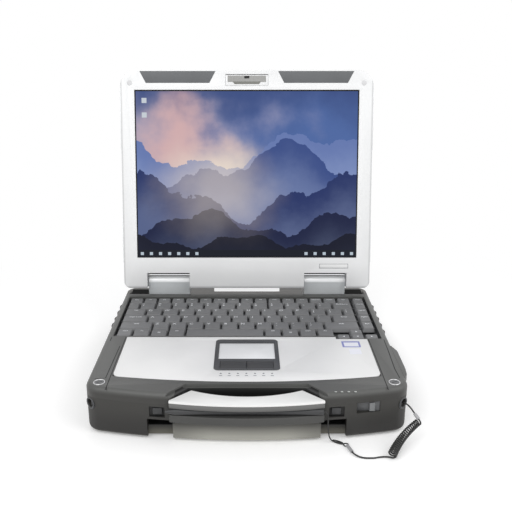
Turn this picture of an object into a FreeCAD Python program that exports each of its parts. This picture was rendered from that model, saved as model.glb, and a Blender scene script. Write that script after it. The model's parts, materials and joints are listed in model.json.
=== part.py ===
"""Rugged notebook computer with a carry handle, a hinged display and a stylus on a curly tether.

Millimetres. X runs to the right, Y to the rear and Z up. The origin lies on the table, below the
front edge of the keyboard in the middle of the base. The display stands open, leaning back.
"""

import FreeCAD
import Part
import Sketcher
import math
import os
from FreeCAD import Placement, Rotation, Vector

SIZES = {
    # Base
    "base_width": 302.0,
    "base_front": 130.0,
    "base_rear": 155.0,
    "front_bow": 600.0,
    "front_corner": 16.0,
    "rear_corner": 12.0,
    "foot_height": 2.0,
    "foot_radius": 9.0,
    "foot_inset_x": 28.0,
    "foot_front": 88.0,
    "foot_rear": 128.0,
    "floor_thickness": 3.0,
    "wall": 3.0,
    "deck_depth": 10.8,
    "deck_height": 48.8,
    "deck_skin": 3.0,
    "deck_edge": 5.0,
    "bottom_edge": 4.0,
    "cavity_front": 96.0,
    "trough_front": 120.5,
    "trough_rear": 137.0,
    "trough_depth": 4.8,
    "trough_margin": 5.0,
    "trough_end_drop": 1.5,
    "rear_notch_half": 42.0,
    "rear_notch_depth": 13.0,
    "rear_notch_drop": 5.7,
    "rear_notch_web": 3.0,
    "standoff_radius": 3.0,
    "standoff_height": 4.0,
    "screw_radius": 2.0,
    # Keyboard
    "keyboard_margin": 9.0,
    "side_key": 14.4,
    "side_column_gap": 2.0,
    "well_clearance": 1.7,
    "row_pitch": 19.1,
    "key_rows_front": -0.6,
    "function_depth": 14.0,
    "function_count": 16.0,
    "row_keys": 14.0,
    "key_gap": 1.0,
    "key_taper": 1.5,
    "key_front_taper": 2.4,
    "key_back_taper": 0.8,
    "key_height": 4.8,
    "key_sunk": 0.6,
    "key_travel": 2.0,
    "key_guide": 0.3,
    "rail_width": 4.0,
    "rail_sunk": 4.2,
    "tray_sunk": 7.8,
    "tray_thickness": 1.5,
    "tray_rim": 2.8,
    "grave_width": 14.4,
    "tab_width": 24.4,
    "caps_width": 29.0,
    "shift_width": 37.0,
    "control_width": 17.7,
    "arrow_gap": 1.2,
    "arrow_width": 15.13,
    "arrow_depth": 12.4,
    "arrow_drop": 7.4,
    # Palm rest and touchpad
    "palm_margin": 23.0,
    "palm_rear": 4.0,
    "palm_side_front": 91.0,
    "palm_front": 102.0,
    "palm_corner": 8.0,
    "palm_thickness": 1.2,
    "palm_fit": 0.1,
    "pad_frame_half": 32.4,
    "pad_frame_rear": 10.5,
    "pad_frame_front": 79.5,
    "pad_frame_corner": 5.0,
    "pad_frame_proud": 0.3,
    "pad_frame_flange": 2.5,
    "pad_frame_depth": 4.8,
    "pad_half": 28.5,
    "pad_rear": 19.0,
    "pad_front": 55.5,
    "pad_sunk": 0.5,
    "pad_thickness": 1.7,
    "button_half": 26.2,
    "button_rear": 61.0,
    "button_front": 75.5,
    "button_split": 0.6,
    "button_thickness": 2.3,
    "button_sunk": 0.2,
    "button_travel": 0.8,
    "button_clearance": 0.25,
    # Front of the base
    "recess_half": 54.0,
    "recess_rear": 109.0,
    "recess_flare": 0.905,
    "recess_step": 3.0,
    "recess_step_depth": 2.8,
    "recess_reach": 6.0,
    "chin_gap": 3.0,
    "chin_half": 68.0,
    "notch_outer": 92.0,
    "notch_face": 116.0,
    "slot_drop": 8.5,
    "slot_rise": 2.0,
    "slot_face": 104.0,
    "window_inner": 75.0,
    "window_outer": 89.5,
    "window_height": 10.5,
    "window_drop": 3.0,
    "window_face": 121.0,
    "switch_width": 22.0,
    "switch_inset": 28.0,
    "switch_height": 10.5,
    "switch_drop": 1.0,
    "switch_face": 115.5,
    "switch_plate": 1.0,
    "slider_width": 5.0,
    "slider_rest": 5.0,
    "slider_depth": 2.6,
    "slider_margin": 1.0,
    "slider_clearance": 0.1,
    "tether_drop": 7.0,
    "tether_hole": 4.0,
    "tether_depth": 7.0,
    "tether_bar": 1.2,
    "tether_bar_inset": 2.6,
    "tether_bar_seat": 1.0,
    "cap_inset": 13.0,
    "cap_y": 103.0,
    "cap_radius": 5.5,
    "cap_depth": 1.5,
    "cap_proud": 0.3,
    # Carry handle and stylus
    "handle_drop": 4.3,
    "handle_height": 21.5,
    "handle_plate": 2.0,
    "handle_half": 70.5,
    "handle_front": 137.5,
    "handle_side_front": 131.0,
    "handle_side_rear": 128.5,
    "handle_wing_x": 51.5,
    "handle_wing_y": 110.5,
    "handle_waist": 122.0,
    "arm_inner": 58.0,
    "arm_outer": 66.0,
    "arm_thickness": 8.0,
    "arm_drop": 10.5,
    "arm_socket": 124.0,
    "arm_end": 66.0,
    "arm_clearance": 0.15,
    "stylus_radius": 3.0,
    "stylus_drop": 10.5,
    "stylus_y": 130.5,
    "stylus_left": 66.0,
    "stylus_right": 69.5,
    "stylus_tip": 8.0,
    "stylus_seat": 0.2,
    # Covers in the sides and the rear
    "cover_clearance": 0.3,
    "cover_thickness": 2.4,
    "cover_low": 9.0,
    "cover_drop": 2.0,
    "battery_cover_front": 90.0,
    "battery_cover_rear": 20.0,
    "battery_cover_bulge": 3.0,
    "bay_cover_front": 80.0,
    "bay_cover_rear": 30.0,
    "port_cover_width": 74.0,
    "port_cover_inset": 29.0,
    "port_cover_low": 13.0,
    "port_cover_drop": 5.0,
    "rib_count": 5.0,
    "rib_first": 26.0,
    "rib_pitch": 18.0,
    "rib_radius": 9.0,
    "rib_proud": 3.0,
    "rib_low": 12.0,
    "rib_drop": 6.8,
    # Inside the base
    "board_half": 68.0,
    "board_front": 58.0,
    "board_rear": 112.0,
    "board_thickness": 1.6,
    "board_corner": 6.0,
    "sink_half": 30.0,
    "sink_front": 58.0,
    "sink_rear": 100.0,
    "sink_plate": 4.0,
    "sink_height": 14.0,
    "fin_pitch": 6.0,
    "fin_gap": 4.0,
    "memory_left": 22.0,
    "memory_length": 40.0,
    "memory_front": 40.0,
    "memory_depth": 30.0,
    "memory_height": 4.0,
    "battery_left": 72.0,
    "battery_height": 26.0,
    "drive_left": 75.0,
    "drive_front": 12.0,
    "drive_rear": 88.0,
    "drive_height": 12.0,
    "bay_right": 75.0,
    "bay_height": 14.0,
    "module_side_gap": 0.5,
    "socket_depth": 13.0,
    "socket_height": 14.0,
    "socket_count": 4.0,
    "socket_width": 13.0,
    "socket_mouth": 2.0,
    "socket_lip": 2.0,
    # Display lid
    "hinge_y": 128.5,
    "hinge_rise": 15.2,
    "open_angle": 101.55,
    "lid_inset": 1.0,
    "lid_low": 7.3,
    "lid_top_rail": 23.4,
    "lid_top_corner": 18.0,
    "lid_bottom_corner": 8.0,
    "bezel_front": 14.4,
    "bezel_back": 9.0,
    "lid_back": 9.4,
    "lid_back_edge": 4.0,
    "lid_skin": 3.0,
    "lid_cavity_low": 18.0,
    "lid_cavity_drop": 10.7,
    "lid_wall": 5.0,
    "screen_side": 16.9,
    "screen_height": 199.7,
    "screen_low": 30.6,
    "screen_sunk": 0.7,
    "screen_margin": 0.5,
    "panel_border": 7.0,
    "panel_thickness": 7.0,
    "hinge_width": 52.0,
    "hinge_inset": 28.0,
    "hinge_notch": 11.3,
    "hinge_side_gap": 0.5,
    "hinge_barrel": 6.8,
    "hinge_pin": 3.0,
    "hinge_pin_seat": 6.0,
    "hinge_running": 0.05,
    "antenna_inner": 37.0,
    "antenna_inset": 23.0,
    "antenna_slope": 7.3,
    "antenna_height": 13.8,
    "antenna_drop": 1.3,
    "antenna_depth": 4.0,
    "antenna_proud": 0.2,
    "latch_half": 25.0,
    "latch_height": 13.0,
    "latch_drop": 5.1,
    "latch_depth": 4.2,
    "latch_clearance": 0.3,
    "latch_pin": 1.0,
    "latch_pin_seat": 2.0,
    "latch_pin_sunk": 2.1,
    "bumper_inset": 11.0,
    "bumper_drop": 15.1,
    "bumper_radius": 3.0,
    "bumper_depth": 2.0,
    "bumper_proud": 0.4,
    "badge_width": 36.0,
    "badge_inset": 26.0,
    "badge_low": 16.9,
    "badge_high": 23.0,
    "badge_thickness": 0.5,
    "badge_proud": 0.2,
    "guard_proud": 1.6,
    "guard_front": 10.4,
    "guard_back": 5.0,
    "guard_low": 24.0,
    "guard_middle_low": 76.0,
    "guard_upper_drop": 93.7,
    "guard_drop": 20.7,
    # Stylus tether
    "cord_radius": 0.75,
    "string_radius": 0.6,
    "sleeve_radius": 1.6,
    "upper_sleeve_length": 6.0,
    "lower_sleeve_length": 10.0,
    "ring_radius": 2.3,
    "ring_wire": 0.5,
    "ring_play": 0.1,
    "bar_bite": 0.2,
    "coil_turns": 20.43,
    "coil_low_radius": 3.7,
    "coil_high_radius": 2.8,
}

doc = FreeCAD.newDocument("RuggedNotebook")
nodes = []


class Term:
    """A size: the sheet formula that gives it, and its value."""

    def __init__(self, formula, value):
        self.formula = formula
        self.value = value

    def __add__(self, other):
        return Term(f"({self.formula} + {formula(other)})", self.value + number(other))

    def __radd__(self, other):
        return Term(f"({formula(other)} + {self.formula})", number(other) + self.value)

    def __sub__(self, other):
        return Term(f"({self.formula} - {formula(other)})", self.value - number(other))

    def __rsub__(self, other):
        return Term(f"({formula(other)} - {self.formula})", number(other) - self.value)

    def __mul__(self, other):
        return Term(f"({self.formula} * {formula(other)})", self.value * number(other))

    __rmul__ = __mul__

    def __truediv__(self, other):
        return Term(f"({self.formula} / {formula(other)})", self.value / number(other))

    def __neg__(self):
        return Term(f"(-1 * {self.formula})", -self.value)


def formula(size):
    return size.formula if isinstance(size, Term) else repr(float(size))


def number(size):
    return size.value if isinstance(size, Term) else float(size)


def root(size):
    return Term(f"sqrt({size.formula})", math.sqrt(size.value))


class Sizes:
    """The driving dimensions, one named cell each."""

    def __init__(self, rows):
        sheet = doc.addObject("Spreadsheet::Sheet", "Sizes")
        for row, (name, value) in enumerate(rows.items(), start=1):
            sheet.set(f"A{row}", name)
            sheet.set(f"B{row}", str(value))
            sheet.setAlias(f"B{row}", name)
            setattr(self, name, Term(f"Sizes.{name}", value))


S = Sizes(SIZES)
doc.recompute()

half = S.base_width / 2

# Heights that follow the deck
S.parting_height = S.deck_height - S.deck_depth
S.trough_height = S.deck_height - S.trough_depth
S.key_top = S.deck_height - S.key_sunk
S.key_bottom = S.key_top - S.key_height
S.rail_top = S.deck_height - S.rail_sunk
S.tray_floor = S.deck_height - S.tray_sunk
S.pad_frame_bottom = S.deck_height - S.pad_frame_depth
S.recess_step_height = S.deck_height - S.recess_step_depth
S.handle_top = S.deck_height - S.handle_drop
S.handle_bottom = S.handle_top - S.handle_height
S.chin_height = S.handle_bottom - S.chin_gap
S.arm_high = S.handle_top - S.arm_drop
S.arm_low = S.arm_high - S.arm_thickness
S.stylus_height = S.handle_top - S.stylus_drop
S.window_high = S.parting_height - S.window_drop
S.window_low = S.window_high - S.window_height
S.switch_high = S.parting_height - S.switch_drop
S.switch_low = S.switch_high - S.switch_height
S.tether_height = S.parting_height - S.tether_drop
S.cover_high = S.parting_height - S.cover_drop
S.port_cover_high = S.parting_height - S.port_cover_drop
S.rib_high = S.deck_height - S.rib_drop
S.hinge_z = S.deck_height + S.hinge_rise

# Widths that follow the base
S.trough_half = half - S.trough_margin
S.keyboard_half = half - S.keyboard_margin
S.keyboard_main_right = S.keyboard_half - S.side_key - S.side_column_gap
S.key_width = (S.keyboard_half + S.keyboard_main_right) / S.row_keys
S.arrow_left = S.keyboard_half - 3 * S.arrow_width
S.palm_half = half - S.palm_margin
S.cap_x = half - S.cap_inset
S.switch_right = half - S.switch_inset
S.switch_left = S.switch_right - S.switch_width
S.port_cover_outer = half - S.port_cover_inset
S.port_cover_inner = S.port_cover_outer - S.port_cover_width

# The lid follows the base and the screen
S.lid_half = half - S.lid_inset
S.lid_high = S.screen_low + S.screen_height + S.lid_top_rail
S.lid_cavity_high = S.lid_high - S.lid_cavity_drop
S.lid_cavity_half = S.lid_half - S.lid_wall
S.screen_half = S.lid_half - S.screen_side
S.hinge_outer = S.lid_half - S.hinge_inset
S.hinge_inner = S.hinge_outer - S.hinge_width
S.antenna_outer = S.lid_half - S.antenna_inset
S.antenna_high = S.lid_high - S.antenna_drop
S.antenna_low = S.antenna_high - S.antenna_height
S.latch_high = S.lid_high - S.latch_drop
S.latch_low = S.latch_high - S.latch_height
S.bumper_x = S.lid_half - S.bumper_inset
S.bumper_z = S.lid_high - S.bumper_drop
S.badge_right = S.lid_half - S.badge_inset
S.badge_left = S.badge_right - S.badge_width
S.guard_high = S.lid_high - S.guard_drop
S.guard_middle_high = S.lid_high - S.guard_upper_drop


def bind(item, prop, size):
    item.setExpression(prop, formula(size))


def keep(item, label):
    """Names a finished sub-part."""
    item.Label = label
    nodes.append(item)
    return item


class Outline:
    """A closed line through named points. An edge's signed radius bows it: positive turns left."""

    def __init__(self, points, bows=None):
        self.points = points
        self.bows = bows or {}

    def draw(self, sketch):
        count = len(self.points)
        spots = [Vector(number(x), number(y), 0) for x, y in self.points]
        ends = []
        for edge in range(count):
            a = spots[edge]
            b = spots[(edge + 1) % count]
            if edge not in self.bows:
                ends.append((sketch.addGeometry(Part.LineSegment(a, b), False), 1, 2))
                continue
            radius = number(self.bows[edge])
            bow = arc_between(a, b, radius)
            index = sketch.addGeometry(bow, False)
            ends.append((index, 1, 2) if radius > 0 else (index, 2, 1))
        for edge, (index, start, end) in enumerate(ends):
            following, following_start, _ = ends[(edge + 1) % count]
            sketch.addConstraint(Sketcher.Constraint("Coincident", index, end, following, following_start))
        for edge, (index, start, end) in enumerate(ends):
            x, y = self.points[edge]
            pin(sketch, Sketcher.Constraint("DistanceX", -1, 1, index, start, number(x)), x)
            pin(sketch, Sketcher.Constraint("DistanceY", -1, 1, index, start, number(y)), y)
            if edge in self.bows:
                radius = self.bows[edge]
                size = radius if number(radius) > 0 else -radius
                pin(sketch, Sketcher.Constraint("Radius", index, number(size)), size)


class Ring:
    """A circle with a named centre and radius."""

    def __init__(self, x, y, radius):
        self.x = x
        self.y = y
        self.radius = radius

    def draw(self, sketch):
        centre = Vector(number(self.x), number(self.y), 0)
        circle = Part.Circle(centre, Vector(0, 0, 1), number(self.radius))
        index = sketch.addGeometry(circle, False)
        pin(sketch, Sketcher.Constraint("DistanceX", -1, 1, index, 3, number(self.x)), self.x)
        pin(sketch, Sketcher.Constraint("DistanceY", -1, 1, index, 3, number(self.y)), self.y)
        pin(sketch, Sketcher.Constraint("Radius", index, number(self.radius)), self.radius)


def pin(sketch, constraint, size):
    """Adds a dimension to a sketch and ties it to the sheet."""
    index = sketch.addConstraint(constraint)
    name = f"size{index}"
    sketch.renameConstraint(index, name)
    bind(sketch, f"Constraints.{name}", size)


def arc_between(a, b, radius):
    """The lesser arc from a to b, turning left for a positive radius, as a counter-clockwise arc."""
    if radius < 0:
        a, b = b, a
    middle = (a + b) * 0.5
    half = (b - a).Length / 2
    along = (b - a).normalize()
    left = Vector(-along.y, along.x, 0)
    centre = middle + left * math.sqrt(radius * radius - half * half)
    start = math.atan2(a.y - centre.y, a.x - centre.x)
    end = math.atan2(b.y - centre.y, b.x - centre.x)
    circle = Part.Circle(centre, Vector(0, 0, 1), abs(radius))
    return Part.ArcOfCircle(circle, start, end)


def rectangle(x, y):
    """A rectangle between pairs of bounds."""
    return Outline([(x[0], y[0]), (x[1], y[0]), (x[1], y[1]), (x[0], y[1])])


class Piece:
    """A solid grown from sketches. XY sketches are extruded up, XZ to the rear and YZ to the right."""

    def __init__(self, name):
        self.name = name
        self.body = doc.addObject("PartDesign::Body", name + "_body")

    def sketch(self, role, level, loops):
        sketch = self.body.newObject("Sketcher::SketchObject", self.name + "_sketch")
        plane = next(f for f in self.body.Origin.OriginFeatures if f.Role == role)
        sketch.AttachmentSupport = [(plane, "")]
        sketch.MapMode = "FlatFace"
        bind(sketch, "AttachmentOffset.Base.z", -level if role == "XZ_Plane" else level)
        for loop in loops:
            loop.draw(sketch)
        return sketch

    def extrude(self, kind, role, low, high, loops, reverse):
        sketch = self.sketch(role, low, loops)
        feature = self.body.newObject("PartDesign::" + kind, f"{self.name}_{kind.lower()}")
        feature.Profile = sketch
        bind(feature, "Length", high - low)
        feature.Reversed = reverse
        return self

    def grow(self, role, low, high, *loops):
        return self.extrude("Pad", role, low, high, loops, role == "XZ_Plane")

    def carve(self, role, low, high, *loops):
        return self.extrude("Pocket", role, low, high, loops, role != "XZ_Plane")

    def round(self, radius, chosen):
        """Rounds the edges that a test picks."""
        doc.recompute()
        tip = self.body.Tip
        picked = [f"Edge{n}" for n, edge in enumerate(tip.Shape.Edges, start=1) if chosen(edge)]
        feature = self.body.newObject("PartDesign::Fillet", self.name + "_fillet")
        feature.Base = (tip, picked)
        bind(feature, "Radius", radius)
        return self

    def keep(self):
        return keep(self.body, self.name)


NEAR = 0.01


def upright(edge):
    """True for a straight edge along Z."""
    box = edge.BoundBox
    return box.XLength < NEAR and box.YLength < NEAR and box.ZLength > NEAR


def level_at(height):
    """Picks the edges that lie in one horizontal plane."""
    z = number(height)
    return lambda edge: abs(edge.BoundBox.ZMin - z) < NEAR and abs(edge.BoundBox.ZMax - z) < NEAR


def across(edge):
    """True for a straight edge along Y."""
    box = edge.BoundBox
    return box.XLength < NEAR and box.ZLength < NEAR and box.YLength > NEAR


def upright_from(y_low, y_high):
    """Picks upright edges whose Y lies between two bounds."""
    return lambda edge: upright(edge) and number(y_low) < edge.BoundBox.YMin < number(y_high)


def block(name, x, y, z):
    """A plain block between pairs of bounds."""
    item = doc.addObject("Part::Box", name)
    for prop, axis, (low, high) in (("Length", "x", x), ("Width", "y", y), ("Height", "z", z)):
        bind(item, prop, high - low)
        bind(item, "Placement.Base." + axis, low)
    return item


def rod(name, radius, length, start, direction):
    """A round bar from a start point along a direction."""
    item = doc.addObject("Part::Cylinder", name)
    item.Placement = Placement(Vector(), Rotation(Vector(0, 0, 1), direction))
    bind(item, "Radius", radius)
    bind(item, "Height", length)
    for axis, place in zip("xyz", start):
        bind(item, "Placement.Base." + axis, place)
    return item


def group(name, items):
    """Several solids in one object."""
    item = doc.addObject("Part::Compound", name)
    item.Links = items
    return item


def cut(name, base, tools):
    item = doc.addObject("Part::Cut", name)
    item.Base = base
    item.Tool = tools[0] if len(tools) == 1 else group(name + "_tools", tools)
    return item


def join(name, items):
    item = doc.addObject("Part::MultiFuse", name)
    item.Shapes = items
    return item


def mirrored(bounds):
    """The bounds on the other side of the middle."""
    return (-bounds[1], -bounds[0])


SIDES = (("left", -1), ("right", 1))
LEFT_RIGHT = (-1, 1)
BEYOND = 6.0

underside = S.foot_height
floor_top = underside + S.floor_thickness
skin_under = S.deck_height - S.deck_skin
trough_under = S.trough_height - S.deck_skin
inner_half = half - S.wall
inner_rear = S.base_rear - S.wall


def bowed_front(x):
    """Where the bowed front of the base lies at a distance from the middle."""
    return S.front_bow - S.base_front - root(S.front_bow * S.front_bow - x * x)


def base_plan():
    """The outline of the base: straight sides and rear, and a bowed front."""
    side_front = bowed_front(half)
    points = [(-half, S.base_rear), (-half, side_front), (half, side_front), (half, S.base_rear)]
    return Outline(points, {1: S.front_bow})


def base_shell(name, low, high):
    piece = Piece(name)
    piece.grow("XY_Plane", low, high, base_plan())
    piece.round(S.front_corner, upright_from(-S.base_front, 0))
    piece.round(S.rear_corner, upright_from(0, S.base_rear + NEAR))
    return piece


def hollow_plan(front):
    """The outline of the hollow in the base, with rear corners that follow the rounded outside."""
    corner = S.rear_corner - S.wall
    rear = inner_rear - corner
    side = inner_half - corner
    points = [(-inner_half, front), (inner_half, front), (inner_half, rear)]
    points += [(side, inner_rear), (-side, inner_rear), (-inner_half, rear)]
    return Outline(points, {2: corner, 4: corner})


def handle_bay(step):
    """The outline of the bay that the handle sits in, open to the front."""
    rear = step - S.recess_rear
    front = -(S.base_front + S.recess_reach)
    spread = S.recess_half + step + (rear - front) * S.recess_flare
    shoulder = S.recess_half + step
    return Outline([(-shoulder, rear), (-spread, front), (spread, front), (shoulder, rear)])


def tether_point(side, inset):
    """A point on the diagonal of a front corner, at a depth below its surface."""
    reach = (S.front_corner - inset) / math.sqrt(2)
    bow = S.front_bow - S.front_corner
    centre_x = half - S.front_corner
    centre_y = S.front_bow - S.base_front - root(bow * bow - centre_x * centre_x)
    return (side * (centre_x + reach), centre_y - reach)


def bottom_case():
    """The lower half of the base: floor, walls, and the thick front that guides the handle."""
    piece = base_shell("bottom_case", underside, S.parting_height)
    piece.round(S.bottom_edge, level_at(underside))
    piece.carve("XY_Plane", floor_top, S.parting_height, hollow_plan(-S.cavity_front))
    piece.carve("XY_Plane", S.chin_height, S.parting_height, handle_bay(0))
    front = -(S.base_front + BEYOND)
    arm_x = (S.arm_inner - S.arm_clearance, S.arm_outer + S.arm_clearance)
    arm_z = (S.arm_low - S.arm_clearance, S.arm_high + S.arm_clearance)
    notch_x = (S.chin_half, S.notch_outer)
    slot_z = (S.chin_height - S.slot_drop, S.chin_height + S.slot_rise)
    window_x = (S.window_inner, S.window_outer)
    window_z = (S.window_low, S.window_high)
    for flip in (tuple, mirrored):
        piece.carve("XZ_Plane", front, 1 - S.cavity_front, rectangle(flip(arm_x), arm_z))
        piece.carve("XZ_Plane", front, -S.notch_face, rectangle(flip(notch_x), (0, S.chin_height)))
        piece.carve("XZ_Plane", front, -S.slot_face, rectangle(flip(notch_x), slot_z))
        piece.carve("XZ_Plane", front, -S.window_face, rectangle(flip(window_x), window_z))
    switch_x = (S.switch_left, S.switch_right)
    switch_z = (S.switch_low, S.switch_high)
    piece.carve("XZ_Plane", front, -S.switch_face, rectangle(switch_x, switch_z))
    cover_z = (S.cover_low, S.cover_high)
    battery_y = (-S.battery_cover_front, -S.battery_cover_rear)
    piece.carve("YZ_Plane", inner_half - 1, half + BEYOND, rectangle(battery_y, cover_z))
    bay_y = (-S.bay_cover_front, S.bay_cover_rear)
    piece.carve("YZ_Plane", -half - BEYOND, 1 - inner_half, rectangle(bay_y, cover_z))
    port_x = (S.port_cover_inner, S.port_cover_outer)
    port_z = (S.port_cover_low, S.port_cover_high)
    for flip in (tuple, mirrored):
        piece.carve("XZ_Plane", inner_rear - 1, S.base_rear + BEYOND, rectangle(flip(port_x), port_z))
    spots = board_corners()
    posts = [Ring(x, y, S.standoff_radius) for x, y in spots]
    piece.grow("XY_Plane", floor_top, floor_top + S.standoff_height, *posts)
    holes = [Ring(x, y, S.screw_radius) for x, y in spots]
    piece.carve("XY_Plane", underside, floor_top, *holes)
    tools = []
    for side in LEFT_RIGHT:
        tools.append(tether_bore("tether_bore", side))
        tools.append(tether_pin("tether_pin_hole", side))
    keep(cut("bottom_case_cut", piece.body, tools), "bottom_case")


def board_corners():
    x = S.board_half - S.board_corner
    front = S.board_corner - S.board_front
    rear = S.board_rear - S.board_corner
    return [(-x, front), (x, front), (x, rear), (-x, rear)]


def tether_bore(name, side):
    x, y = tether_point(side, S.tether_depth)
    return rod(name, S.tether_hole, S.tether_depth * 2, (x, y, S.tether_height), Vector(side, -1, 0))


def tether_pin(name, side):
    x, y = tether_point(side, S.tether_bar_inset)
    low = S.tether_height - S.tether_hole - S.tether_bar_seat
    length = (S.tether_hole + S.tether_bar_seat) * 2
    return rod(name, S.tether_bar, length, (x, y, low), Vector(0, 0, 1))


def deck_frame():
    """The upper half of the base: the deck around the keyboard, the hinge trough and the lower rear shelf."""
    piece = base_shell("deck_frame", S.parting_height, S.deck_height)
    piece.round(S.deck_edge, level_at(S.deck_height))
    under = rectangle((-inner_half, inner_half), (-S.cavity_front, S.trough_front - S.deck_skin))
    piece.carve("XY_Plane", S.parting_height, skin_under, under)
    piece.carve("XY_Plane", S.parting_height, trough_under, hollow_plan(S.trough_front - S.deck_skin))
    trough = rectangle((-S.trough_half, S.trough_half), (S.trough_front, S.trough_rear))
    above = S.deck_height + BEYOND
    piece.carve("XY_Plane", S.trough_height, above, trough)
    ends = rectangle((-half - BEYOND, half + BEYOND), (S.trough_front, S.trough_rear))
    piece.carve("XY_Plane", S.deck_height - S.trough_end_drop, above, ends)
    shelf = rectangle((-half - BEYOND, half + BEYOND), (S.trough_rear, S.base_rear + BEYOND))
    piece.carve("XY_Plane", S.trough_height, above, shelf)
    web = S.rear_notch_half + S.rear_notch_web
    notch_front = S.base_rear - S.rear_notch_depth
    solid = rectangle((-web, web), (notch_front - S.rear_notch_web, inner_rear))
    piece.grow("XY_Plane", S.parting_height, trough_under, solid)
    slope = [(notch_front, S.trough_height), (S.base_rear, S.trough_height - S.rear_notch_drop)]
    slope.append((S.base_rear, S.trough_height))
    piece.carve("YZ_Plane", -S.rear_notch_half, S.rear_notch_half, Outline(slope))
    piece.carve("XY_Plane", skin_under, above, keyboard_well())
    palm_bed = S.deck_height - S.palm_thickness
    piece.carve("XY_Plane", palm_bed, above, palm_outline(S.palm_fit))
    hole_x = S.pad_frame_half - S.pad_frame_flange + S.palm_fit
    hole_front = S.pad_frame_flange - S.palm_fit - S.pad_frame_front
    hole_rear = S.palm_fit - S.pad_frame_rear - S.pad_frame_flange
    piece.carve("XY_Plane", skin_under, above, rectangle((-hole_x, hole_x), (hole_front, hole_rear)))
    piece.carve("XY_Plane", S.parting_height, above, handle_bay(0))
    piece.carve("XY_Plane", S.recess_step_height, above, handle_bay(S.recess_step))
    caps = [Ring(side * S.cap_x, -S.cap_y, S.cap_radius) for side in LEFT_RIGHT]
    piece.carve("XY_Plane", S.deck_height - S.cap_depth, above, *caps)
    piece.keep()


def keyboard_well():
    """The opening around the keys, with the corner for the lowered arrow keys."""
    x = S.keyboard_half + S.well_clearance
    front = S.key_rows_front - S.well_clearance / 2
    rear = rows_rear() + S.well_clearance
    corner = S.arrow_left - S.well_clearance / 2
    dropped = -S.arrow_drop - S.well_clearance / 2
    return Outline([(-x, front), (corner, front), (corner, dropped), (x, dropped), (x, rear), (-x, rear)])


def palm_outline(spread):
    """The silver palm rest: a bowed front edge, and a step for the arrow keys."""
    x = S.palm_half + spread
    rear = spread - S.palm_rear
    step = spread - S.arrow_drop - S.well_clearance
    step_x = S.arrow_left - S.well_clearance + spread
    side = -S.palm_side_front - spread
    sag = S.palm_front - S.palm_side_front
    bow = (x * x + sag * sag) / (2 * sag)
    points = [(-x, rear), (-x, side), (x, side), (x, step), (step_x, step), (step_x, rear)]
    return Outline(points, {1: bow})


def palm_rest_plate():
    piece = Piece("palm_rest_plate")
    low = S.deck_height - S.palm_thickness
    piece.grow("XY_Plane", low, S.deck_height, palm_outline(0))
    front = S.palm_side_front + NEAR
    piece.round(S.palm_corner, upright_from(-S.palm_front, 2 * NEAR - front))
    frame_x = S.pad_frame_half + S.palm_fit
    frame_y = (-S.pad_frame_front - S.palm_fit, S.palm_fit - S.pad_frame_rear)
    piece.carve("XY_Plane", low, S.deck_height + 1, rectangle((-frame_x, frame_x), frame_y))
    piece.round(S.pad_frame_corner + S.palm_fit, upright_from(frame_y[0] - NEAR, frame_y[1] + NEAR))
    piece.keep()


def touchpad():
    """The dark frame of the touchpad, its sensing surface and its two buttons."""
    piece = Piece("touchpad_bezel")
    bed = S.deck_height - S.palm_thickness
    top = S.deck_height + S.pad_frame_proud
    frame_y = (-S.pad_frame_front, -S.pad_frame_rear)
    piece.grow("XY_Plane", bed, top, rectangle((-S.pad_frame_half, S.pad_frame_half), frame_y))
    piece.round(S.pad_frame_corner, upright)
    tub_x = S.pad_frame_half - S.pad_frame_flange
    tub_y = (S.pad_frame_flange - S.pad_frame_front, -S.pad_frame_rear - S.pad_frame_flange)
    piece.grow("XY_Plane", S.pad_frame_bottom, bed, rectangle((-tub_x, tub_x), tub_y))
    pad_top = S.deck_height - S.pad_sunk
    pad_low = pad_top - S.pad_thickness
    pad = rectangle((-S.pad_half, S.pad_half), (-S.pad_front, -S.pad_rear))
    piece.carve("XY_Plane", pad_low, top + 1, pad)
    button_top = top - S.button_sunk
    button_low = button_top - S.button_thickness
    room = S.button_clearance
    well_x = S.button_half + room
    well_y = (-S.button_front - room, room - S.button_rear)
    well_low = button_low - S.button_travel - room
    piece.carve("XY_Plane", well_low, top + 1, rectangle((-well_x, well_x), well_y))
    piece.keep()
    pad_y = (-S.pad_front, -S.pad_rear)
    keep(block("pad", (-S.pad_half, S.pad_half), pad_y, (pad_low, pad_top)), "touchpad_surface")
    button_x = (S.button_split / 2, S.button_half)
    for side, flip in (("left", mirrored), ("right", tuple)):
        button_y = (-S.button_front, -S.button_rear)
        button = block("button", flip(button_x), button_y, (button_low, button_top))
        keep(button, f"touchpad_{side}_button")


def rows_front(row):
    """The front edge of a row of full-size keys, counted from the space bar's row."""
    return S.key_rows_front + row * S.row_pitch


FULL_ROWS = 5


def rows_rear():
    return rows_front(FULL_ROWS) + S.function_depth


def row_bounds(row):
    rear = rows_rear() if row == FULL_ROWS else rows_front(row + 1)
    return (rows_front(row), rear)


def key(x, y):
    """A key cap that narrows upwards."""
    cap = doc.addObject("Part::Wedge", "key")
    cap.Placement = Placement(Vector(), Rotation(Vector(1, 0, 0), 90))
    edge = S.key_gap / 2
    left = x[0] + edge
    right = x[1] - edge
    front = y[0] + edge
    rear = y[1] - edge
    bind(cap, "Ymin", S.key_bottom)
    bind(cap, "Ymax", S.key_top)
    bind(cap, "Xmin", left)
    bind(cap, "Xmax", right)
    bind(cap, "X2min", left + S.key_taper)
    bind(cap, "X2max", right - S.key_taper)
    bind(cap, "Zmin", -rear)
    bind(cap, "Zmax", -front)
    bind(cap, "Z2min", S.key_back_taper - rear)
    bind(cap, "Z2max", -front - S.key_front_taper)
    return cap


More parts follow.
